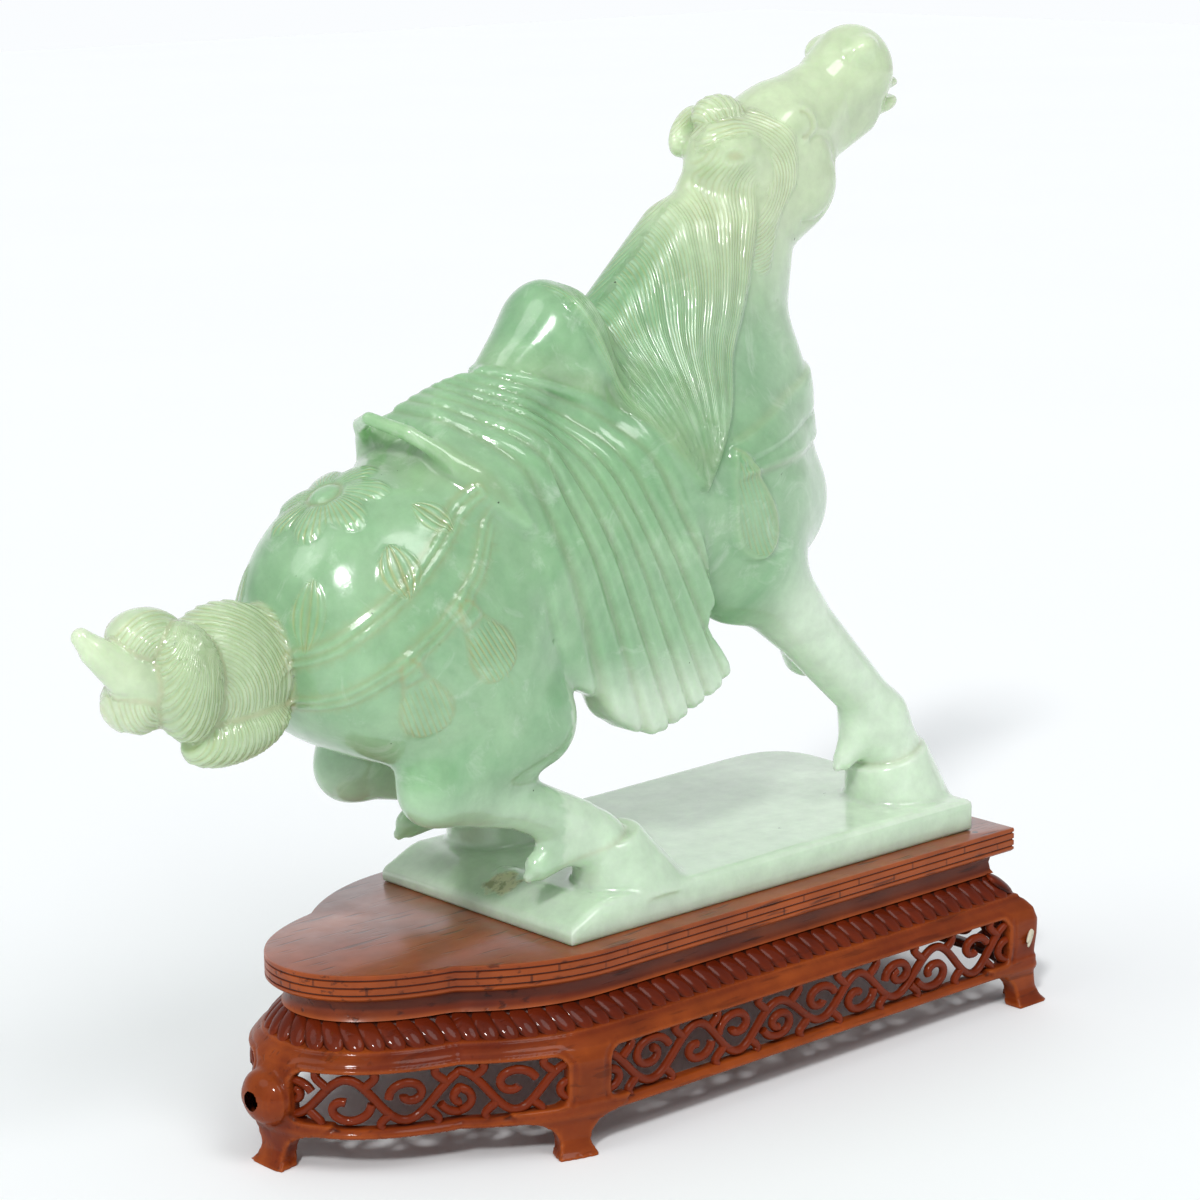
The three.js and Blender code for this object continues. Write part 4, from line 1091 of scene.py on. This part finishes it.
# Finishes
def newMaterial(name):
    material = bpy.data.materials.new(name)
    material.use_nodes = True
    nodes, links = material.node_tree.nodes, material.node_tree.links
    nodes.clear()
    out = nodes.new("ShaderNodeOutputMaterial")
    shader = nodes.new("ShaderNodeBsdfPrincipled")
    links.new(shader.outputs[0], out.inputs[0])
    return material, nodes, links.new, shader


def mixColor(nodes, link, factor, a, b, blend="MIX"):
    mix = nodes.new("ShaderNodeMix")
    mix.data_type = "RGBA"
    mix.blend_type = blend
    for socket, value in ((mix.inputs[0], factor), (mix.inputs[6], a), (mix.inputs[7], b)):
        if hasattr(value, "is_output"):
            link(value, socket)
        else:
            socket.default_value = value
    return mix.outputs[2]


def mathNode(nodes, link, kind, *values):
    node = nodes.new("ShaderNodeMath")
    node.operation = kind
    for socket, value in zip(node.inputs, values):
        if hasattr(value, "is_output"):
            link(value, socket)
        else:
            socket.default_value = value
    return node.outputs[0]


def rampNode(nodes, link, value, stops):
    node = nodes.new("ShaderNodeValToRGB")
    link(value, node.inputs[0])
    while len(node.color_ramp.elements) < len(stops):
        node.color_ramp.elements.new(0.5)
    for element, (position, color) in zip(node.color_ramp.elements, stops):
        element.position = position
        element.color = color if len(color) == 4 else (*color, 1)
    return node.outputs[0]


def noiseNode(nodes, link, vector, scale, detail=4, rough=0.55, distortion=0.0):
    node = nodes.new("ShaderNodeTexNoise")
    link(vector, node.inputs["Vector"])
    node.inputs["Scale"].default_value = scale
    node.inputs["Detail"].default_value = detail
    node.inputs["Roughness"].default_value = rough
    node.inputs["Distortion"].default_value = distortion
    return node.outputs[0]


def attributeNode(nodes, name):
    node = nodes.new("ShaderNodeAttribute")
    node.attribute_name = name
    return node.outputs["Fac"]


black, white = (0, 0, 0), (1, 1, 1)
jade = dict(body=(0.34, 0.545, 0.325), deep=(0.22, 0.43, 0.225), cloud=(0.55, 0.70, 0.54),
            pale=(0.67, 0.795, 0.635), warm=(0.67, 0.75, 0.49), olive=(0.45, 0.45, 0.16),
            stain=(0.42, 0.26, 0.09), speck=(0.03, 0.035, 0.03),
            unpolished=(0.66, 0.62, 0.38), grime=(0.30, 0.29, 0.13))


def unpolishedSpot(nodes, link, where):
    # an unpolished spot was left on the slab by the near hind hoof
    off, squeeze, size = (nodes.new("ShaderNodeVectorMath") for _ in range(3))
    off.operation, squeeze.operation, size.operation = "SUBTRACT", "DIVIDE", "LENGTH"
    link(where, off.inputs[0])
    off.inputs[1].default_value = tuple(toFrame([roughSpot["centre"]])[0])
    link(off.outputs[0], squeeze.inputs[0])
    squeeze.inputs[1].default_value = tuple(h / 1000 for h in roughSpot["half"])
    link(squeeze.outputs[0], size.inputs[0])
    crumbs = noiseNode(nodes, link, where, 380, 3)
    ragged = mathNode(nodes, link, "MULTIPLY_ADD", crumbs, 0.9, size.outputs["Value"])
    edge = mathNode(nodes, link, "MULTIPLY", ragged, 0.5)
    return rampNode(nodes, link, edge, [(0.52, white), (0.66, black)])


def jadeMaterial():
    material, nodes, link, shader = newMaterial("polishedJade")
    where = nodes.new("ShaderNodeTexCoord").outputs["Object"]
    spot = unpolishedSpot(nodes, link, where)
    clouds = noiseNode(nodes, link, where, 26, 5, 0.6, 0.8)
    fine = noiseNode(nodes, link, where, 190, 4, 0.6)
    base = mixColor(nodes, link, rampNode(nodes, link, clouds, [(0.36, black), (0.68, white)]),
                    (*jade["deep"], 1), (*jade["body"], 1))
    drifts = noiseNode(nodes, link, where, 60, 6, 0.65, 1.6)
    wisps = rampNode(nodes, link, drifts, [(0.56, black), (0.74, white)])
    base = mixColor(nodes, link, mathNode(nodes, link, "MULTIPLY", wisps, 0.55), base, (*jade["cloud"], 1))
    base = mixColor(nodes, link, mathNode(nodes, link, "MULTIPLY", attributeNode(nodes, "pale"), 0.85), base,
                    (*jade["pale"], 1))
    base = mixColor(nodes, link, mathNode(nodes, link, "MULTIPLY", attributeNode(nodes, "warm"), 0.7), base,
                    (*jade["warm"], 1))
    mottle = rampNode(nodes, link, fine, [(0.3, (0.9, 0.9, 0.9)), (0.7, (1.06, 1.06, 1.06))])
    base = mixColor(nodes, link, 1.0, base, mottle, "MULTIPLY")
    # hair lines follow the strand count
    strand = attributeNode(nodes, "strand")
    hair = attributeNode(nodes, "hair")
    wave = mathNode(nodes, link, "SINE", mathNode(nodes, link, "MULTIPLY", strand, 2 * math.pi))
    line = mathNode(nodes, link, "POWER", mathNode(nodes, link, "MULTIPLY_ADD", wave, 0.5, 0.5), 2.5)
    patches = noiseNode(nodes, link, where, 120, 2)
    uneven = rampNode(nodes, link, patches, [(0.35, (0.35,) * 3), (0.65, white)])
    hairLine = mathNode(nodes, link, "MULTIPLY", mathNode(nodes, link, "MULTIPLY", line, hair), uneven)
    base = mixColor(nodes, link, mathNode(nodes, link, "MULTIPLY", hairLine, 0.38), base, (*jade["olive"], 1))
    stain = mathNode(nodes, link, "MULTIPLY", attributeNode(nodes, "stain"), 0.62)
    base = mixColor(nodes, link, stain, base, (*jade["stain"], 1))
    grains = noiseNode(nodes, link, where, 300, 4, 0.65)
    grit = rampNode(nodes, link, grains, [(0.42, jade["grime"]), (0.52, jade["unpolished"])])
    base = mixColor(nodes, link, mathNode(nodes, link, "MULTIPLY", spot, 0.8), base, grit)
    specks = rampNode(nodes, link, noiseNode(nodes, link, where, 560, 2, 0.5), [(0.78, black), (0.8, white)])
    base = mixColor(nodes, link, mathNode(nodes, link, "MULTIPLY", specks, 0.8), base, (*jade["speck"], 1))
    link(base, shader.inputs["Base Color"])
    sheen = noiseNode(nodes, link, where, 75, 3)
    gloss = rampNode(nodes, link, sheen, [(0.35, (0.13,) * 3), (0.7, (0.24,) * 3)])
    rough = mathNode(nodes, link, "ADD", gloss, mathNode(nodes, link, "MULTIPLY", spot, 0.55))
    link(rough, shader.inputs["Roughness"])
    bump = nodes.new("ShaderNodeBump")
    bump.inputs["Strength"].default_value = 0.5
    bump.inputs["Distance"].default_value = 0.0006
    ripple = mathNode(nodes, link, "MULTIPLY", fine, 0.25)
    height = mathNode(nodes, link, "MULTIPLY_ADD", hairLine, -0.85, ripple)
    link(height, bump.inputs["Height"])
    link(bump.outputs[0], shader.inputs["Normal"])
    shader.inputs["Subsurface Weight"].default_value = 0.7
    shader.inputs["Subsurface Radius"].default_value = (0.75, 1.0, 0.7)
    shader.inputs["Subsurface Scale"].default_value = 0.008
    shader.inputs["IOR"].default_value = 1.61
    shader.inputs["Coat Weight"].default_value = 0.35
    shader.inputs["Coat Roughness"].default_value = 0.06
    return material


def woodGrainGroup():
    # long grain and short open pores, along X
    tree = bpy.data.node_groups.new("woodGrain", "ShaderNodeTree")
    for label, value in (("Grain Scale", 40.0), ("Pore Scale", 260.0)):
        tree.interface.new_socket(label, in_out="INPUT", socket_type="NodeSocketFloat").default_value = value
    tree.interface.new_socket("Vector", in_out="INPUT", socket_type="NodeSocketVector")
    tree.interface.new_socket("Grain", in_out="OUTPUT", socket_type="NodeSocketFloat")
    tree.interface.new_socket("Pores", in_out="OUTPUT", socket_type="NodeSocketFloat")
    n, link = tree.nodes, tree.links.new
    comeIn, goOut = n.new("NodeGroupInput"), n.new("NodeGroupOutput")
    stretch = n.new("ShaderNodeMapping")
    stretch.inputs["Scale"].default_value = (0.12, 1, 1)
    link(comeIn.outputs["Vector"], stretch.inputs["Vector"])
    grain = n.new("ShaderNodeTexNoise")
    grain.inputs["Detail"].default_value = 6
    grain.inputs["Distortion"].default_value = 0.6
    link(stretch.outputs[0], grain.inputs["Vector"])
    link(comeIn.outputs["Grain Scale"], grain.inputs["Scale"])
    pores = n.new("ShaderNodeTexNoise")
    pores.inputs["Detail"].default_value = 2
    link(stretch.outputs[0], pores.inputs["Vector"])
    link(comeIn.outputs["Pore Scale"], pores.inputs["Scale"])
    cut = n.new("ShaderNodeValToRGB")
    cut.color_ramp.elements[0].position = 0.60
    cut.color_ramp.elements[1].position = 0.70
    link(pores.outputs[0], cut.inputs[0])
    link(grain.outputs[0], goOut.inputs["Grain"])
    link(cut.outputs[0], goOut.inputs["Pores"])
    return tree


lacquer = dict(red=(0.125, 0.014, 0.004), orange=(0.41, 0.088, 0.012), dark=(0.02, 0.004, 0.003),
               deepRed=(0.062, 0.005, 0.002), russet=(0.22, 0.03, 0.005))


def lacquerMaterial(name, grainTree, tones, worn, poreDepth, onBoard=False):
    material, nodes, link, shader = newMaterial(name)
    where = nodes.new("ShaderNodeTexCoord").outputs["Object"]
    grain = nodes.new("ShaderNodeGroup")
    grain.node_tree = grainTree
    link(where, grain.inputs["Vector"])
    grain.inputs["Grain Scale"].default_value = 70
    grain.inputs["Pore Scale"].default_value = 620
    tone = rampNode(nodes, link, grain.outputs["Grain"], [(0.3, lacquer[tones[0]]), (0.7, lacquer[tones[1]])])
    patch = noiseNode(nodes, link, where, 45, 4, 0.6)
    patch = rampNode(nodes, link, patch, [(0.3, (0.35,) * 3), (0.7, white)])
    thin = mathNode(nodes, link, "MULTIPLY", patch, worn)
    base = mixColor(nodes, link, thin, (*lacquer[tones[0]], 1), tone)
    # the lacquer is more orange on the arrises, and the hollows are painted dark as shade
    geometry = nodes.new("ShaderNodeNewGeometry").outputs["Pointiness"]
    arris = rampNode(nodes, link, geometry, [(0.50, black), (0.57, white)])
    hollow = rampNode(nodes, link, geometry, [(0.42, white), (0.49, black)])
    base = mixColor(nodes, link, mathNode(nodes, link, "MULTIPLY", arris, 0.6), base, (*lacquer[tones[1]], 1))
    base = mixColor(nodes, link, mathNode(nodes, link, "MULTIPLY", hollow, 0.8), base, (*lacquer["dark"], 1))
    # painted shade from the groove attribute: near close walls, under and between the gadroon lobes, inside
    # the apron
    cut = rampNode(nodes, link, attributeNode(nodes, "groove"), [(0.55, black), (0.92, white)])
    base = mixColor(nodes, link, mathNode(nodes, link, "MULTIPLY", cut, 0.9), base, (*lacquer["dark"], 1))
    base = mixColor(nodes, link, mathNode(nodes, link, "MULTIPLY", grain.outputs["Pores"], poreDepth), base,
                    (*lacquer["dark"], 1))
    cloud = noiseNode(nodes, link, where, 85, 3, 0.6)
    cloud = rampNode(nodes, link, cloud, [(0.3, (0.8,) * 3), (0.65, (1.05,) * 3)])
    base = mixColor(nodes, link, 1.0, base, cloud, "MULTIPLY")
    if onBoard:
        # a small hole by the slab's front corner, painted as a dark spot of shade
        gone = nodes.new("ShaderNodeVectorMath")
        gone.operation = "DISTANCE"
        link(where, gone.inputs[0])
        gone.inputs[1].default_value = tuple(toFrame([board["hole"]])[0])
        pit = mathNode(nodes, link, "LESS_THAN", gone.outputs["Value"], 0.0008)
        base = mixColor(nodes, link, pit, base, (*lacquer["dark"], 1))
        around = nodes.new("ShaderNodeUVMap")
        around.uv_map = "around"
        split = nodes.new("ShaderNodeSeparateXYZ")
        link(around.outputs[0], split.inputs[0])
        mask = keyFret(nodes, link, split.outputs[0], split.outputs[1])
        mask = mathNode(nodes, link, "MULTIPLY", mask, mathNode(nodes, link, "MULTIPLY", patch, 0.7))
        base = mixColor(nodes, link, mask, base, (*lacquer["dark"], 1))
        # the flat top is polished more than the cut edge
        height = nodes.new("ShaderNodeSeparateXYZ")
        link(where, height.inputs[0])
        flat = mathNode(nodes, link, "GREATER_THAN", height.outputs["Z"], board["top"] / 1000 - 0.0003)
        link(mathNode(nodes, link, "MULTIPLY_ADD", flat, 0.7, 0.15), shader.inputs["Coat Weight"])
    link(base, shader.inputs["Base Color"])
    rough = noiseNode(nodes, link, where, 130, 3)
    rough = rampNode(nodes, link, rough, [(0.3, (0.32,) * 3), (0.7, (0.5,) * 3)])
    link(rough, shader.inputs["Roughness"])
    bump = nodes.new("ShaderNodeBump")
    bump.inputs["Strength"].default_value = 0.35
    bump.inputs["Distance"].default_value = 0.0004
    height = mathNode(nodes, link, "MULTIPLY_ADD", grain.outputs["Pores"], -0.8, grain.outputs["Grain"])
    link(height, bump.inputs["Height"])
    link(bump.outputs[0], shader.inputs["Normal"])
    shader.inputs["Coat Weight"].default_value = 0.24
    shader.inputs["Coat Roughness"].default_value = 0.2 if onBoard else 0.06
    shader.inputs["Specular IOR Level"].default_value = 0.2 if onBoard else 0.05
    return material


def keyFret(nodes, link, along, height):
    # dark cut lines round the board's edge, with short bars between them
    top = board["top"] / 1000
    bars = None
    for shift in (0.0, 0.35):
        count = mathNode(nodes, link, "DIVIDE", along, 0.019)
        phase = mathNode(nodes, link, "FRACT", mathNode(nodes, link, "ADD", count, shift))
        bar = mathNode(nodes, link, "COMPARE", phase, 0.5, 0.016)
        low = top - (0.0031 if shift else 0.00485)
        here = mathNode(nodes, link, "COMPARE", height, low + 0.000875, 0.0009)
        bar = mathNode(nodes, link, "MULTIPLY", bar, here)
        bars = bar if bars is None else mathNode(nodes, link, "MAXIMUM", bars, bar)
    for z in (0.00135, 0.0031, 0.00485):
        groove = mathNode(nodes, link, "COMPARE", height, top - z, 0.00015)
        bars = mathNode(nodes, link, "MAXIMUM", bars, groove)
    onEdge = mathNode(nodes, link, "GREATER_THAN", height, top - 0.0061)
    below = mathNode(nodes, link, "LESS_THAN", height, top - 0.0002)
    return mathNode(nodes, link, "MULTIPLY", bars, mathNode(nodes, link, "MULTIPLY", onEdge, below))


def plainMaterial(name, color, roughness, spread, depth=0.9):
    material, nodes, link, shader = newMaterial(name)
    where = nodes.new("ShaderNodeTexCoord").outputs["Object"]
    tint = noiseNode(nodes, link, where, spread, 4)
    darker = tuple(c * depth for c in color)
    link(rampNode(nodes, link, tint, [(0.3, darker), (0.7, color)]), shader.inputs["Base Color"])
    shader.inputs["Roughness"].default_value = roughness
    return material


def paint(piece, material):
    piece.data.materials.clear()
    piece.data.materials.append(material)
    return piece


def own(piece, node):
    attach(piece, "root")
    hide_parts(node)


# A smear of putty on the front corner of the apron
putty = dict(centre=(145.6, -46.2, 18.2), half=(3.1, 1.7, 0.6), rise=0.5, turn=25)


def makePutty(material):
    turn, lean = np.linspace(0, 2 * np.pi, 24, endpoint=False), np.linspace(0.08, np.pi - 0.08, 9)
    turns, leans = np.meshgrid(turn, lean)
    ragged = 1 + 0.16 * np.sin(3 * turns + 1) + 0.1 * np.sin(5 * turns)
    along = putty["half"][0] * np.sin(leans) * np.cos(turns) * ragged
    up = putty["half"][1] * np.sin(leans) * np.sin(turns) * ragged
    off = putty["half"][2] * np.cos(leans)
    c, s, r = math.cos(math.radians(putty["turn"])), math.sin(math.radians(putty["turn"])), putty["rise"]
    verts = np.stack([putty["centre"][0] + c * along + s * off, putty["centre"][1] + s * along - c * off,
                      putty["centre"][2] + r * along + up], -1).reshape(-1, 3)
    n, rows = len(turn), len(lean)
    i = np.arange(n)
    j = (i + 1) % n
    quads = np.concatenate([np.stack([r * n + j, r * n + i, (r + 1) * n + i, (r + 1) * n + j], 1)
                            for r in range(rows - 1)])
    return paint(meshPiece("puttyChip", verts, quads), material)


# Assembly
def buildObject():
    grainTree = woodGrainGroup()
    wood = lacquerMaterial("lacqueredWood", grainTree, ("red", "orange"), 0.7, 0.3)
    carvedWood = lacquerMaterial("lacqueredCarving", grainTree, ("deepRed", "russet"), 0.5, 0.15)
    boardWood = lacquerMaterial("lacqueredBoard", grainTree, ("red", "orange"), 0.7, 0.6, True)
    horse = paint(makeHorse(), jadeMaterial())
    own(horse, "jade_horse")
    top = paint(makeBoard(), boardWood)
    own(top, "stand_top")
    report("board made")
    body = paint(makeBase(), wood)
    lobes = makeGadroons(carvedWood)
    vines = makeVines(carvedWood)
    chip = makePutty(plainMaterial("palePutty", (0.62, 0.58, 0.44), 0.75, 700))
    for piece in (body, lobes, vines, chip):
        own(piece, "stand_base")
    report("stand made")


# Camera and light of a plain product picture
camera = dict(place=(-473.923, -584.457, 289.54), azimuth=41.382, elevation=12.61, roll=0.798, lens=100)


def makeCamera():
    a, e, r = (math.radians(camera[k]) for k in ("azimuth", "elevation", "roll"))
    back = Vector((-math.sin(a) * math.cos(e), -math.cos(a) * math.cos(e), math.sin(e)))
    right = Vector((math.cos(a), -math.sin(a), 0))
    up = back.cross(right)
    across = right * math.cos(r) - up * math.sin(r)
    upward = right * math.sin(r) + up * math.cos(r)
    eye = bpy.data.objects.new("camera", bpy.data.cameras.new("camera"))
    eye.data.lens = camera["lens"]
    eye.data.sensor_width = 36
    eye.data.clip_start, eye.data.clip_end = 0.01, 20
    turn = Matrix((across, upward, back)).transposed().to_4x4()
    eye.matrix_world = Matrix.Translation(toFrame([camera["place"]])[0]) @ turn
    bpy.context.scene.collection.objects.link(eye)
    bpy.context.scene.camera = eye


studio = dict(fill=0.44, backdrop=0.55, flash=1.55, right=0.75, left=0.4)


def softSun(name, azimuth, elevation, spread, strength):
    # azimuth is measured from the camera's side, to the right of it
    a, e = math.radians(camera["azimuth"] - azimuth), math.radians(elevation)
    data = bpy.data.lights.new(name, "SUN")
    data.energy = strength
    data.angle = math.radians(spread)
    lamp = bpy.data.objects.new(name, data)
    towards = Vector((-math.sin(a) * math.cos(e), -math.cos(a) * math.cos(e), math.sin(e)))
    lamp.rotation_euler = towards.to_track_quat("Z", "Y").to_euler()
    bpy.context.scene.collection.objects.link(lamp)


def makeStudio():
    world = bpy.data.worlds.new("studio")
    world.use_nodes = True
    nodes, links = world.node_tree.nodes, world.node_tree.links
    background = nodes["Background"]
    background.inputs[0].default_value = (0.96, 0.98, 1, 1)
    # the backdrop behind the work is brighter than the rest of the room
    towards = nodes.new("ShaderNodeVectorMath")
    towards.operation = "DOT_PRODUCT"
    away = math.radians(camera["azimuth"])
    links.new(nodes.new("ShaderNodeTexCoord").outputs["Generated"], towards.inputs[0])
    towards.inputs[1].default_value = (math.sin(away), math.cos(away), 0)
    behind = rampNode(nodes, links.new, towards.outputs["Value"], [(0.6, black), (0.93, white)])
    room = mathNode(nodes, links.new, "MULTIPLY_ADD", behind, studio["backdrop"], studio["fill"])
    seen = nodes.new("ShaderNodeLightPath").outputs["Is Camera Ray"]
    links.new(mathNode(nodes, links.new, "MAXIMUM", room, seen), background.inputs[1])
    bpy.context.scene.world = world
    bpy.context.scene.view_settings.view_transform = "Standard"
    softSun("flash", -14, 40, 7, studio["flash"])
    softSun("rightBox", 42, 52, 26, studio["right"])
    softSun("leftBox", -70, 48, 30, studio["left"])
    floorVerts = np.array([(-4000, -4000, 0), (4000, -4000, 0), (4000, 4000, 0), (-4000, 4000, 0)], float)
    floor = meshPiece("floor", floorVerts, np.array([[0, 1, 2, 3]]), False)
    paint(floor, plainMaterial("paleFloor", (0.93, 0.95, 0.96), 0.9, 3, 0.99))


makeCamera()
makeStudio()
buildObject()
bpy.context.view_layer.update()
report("done")
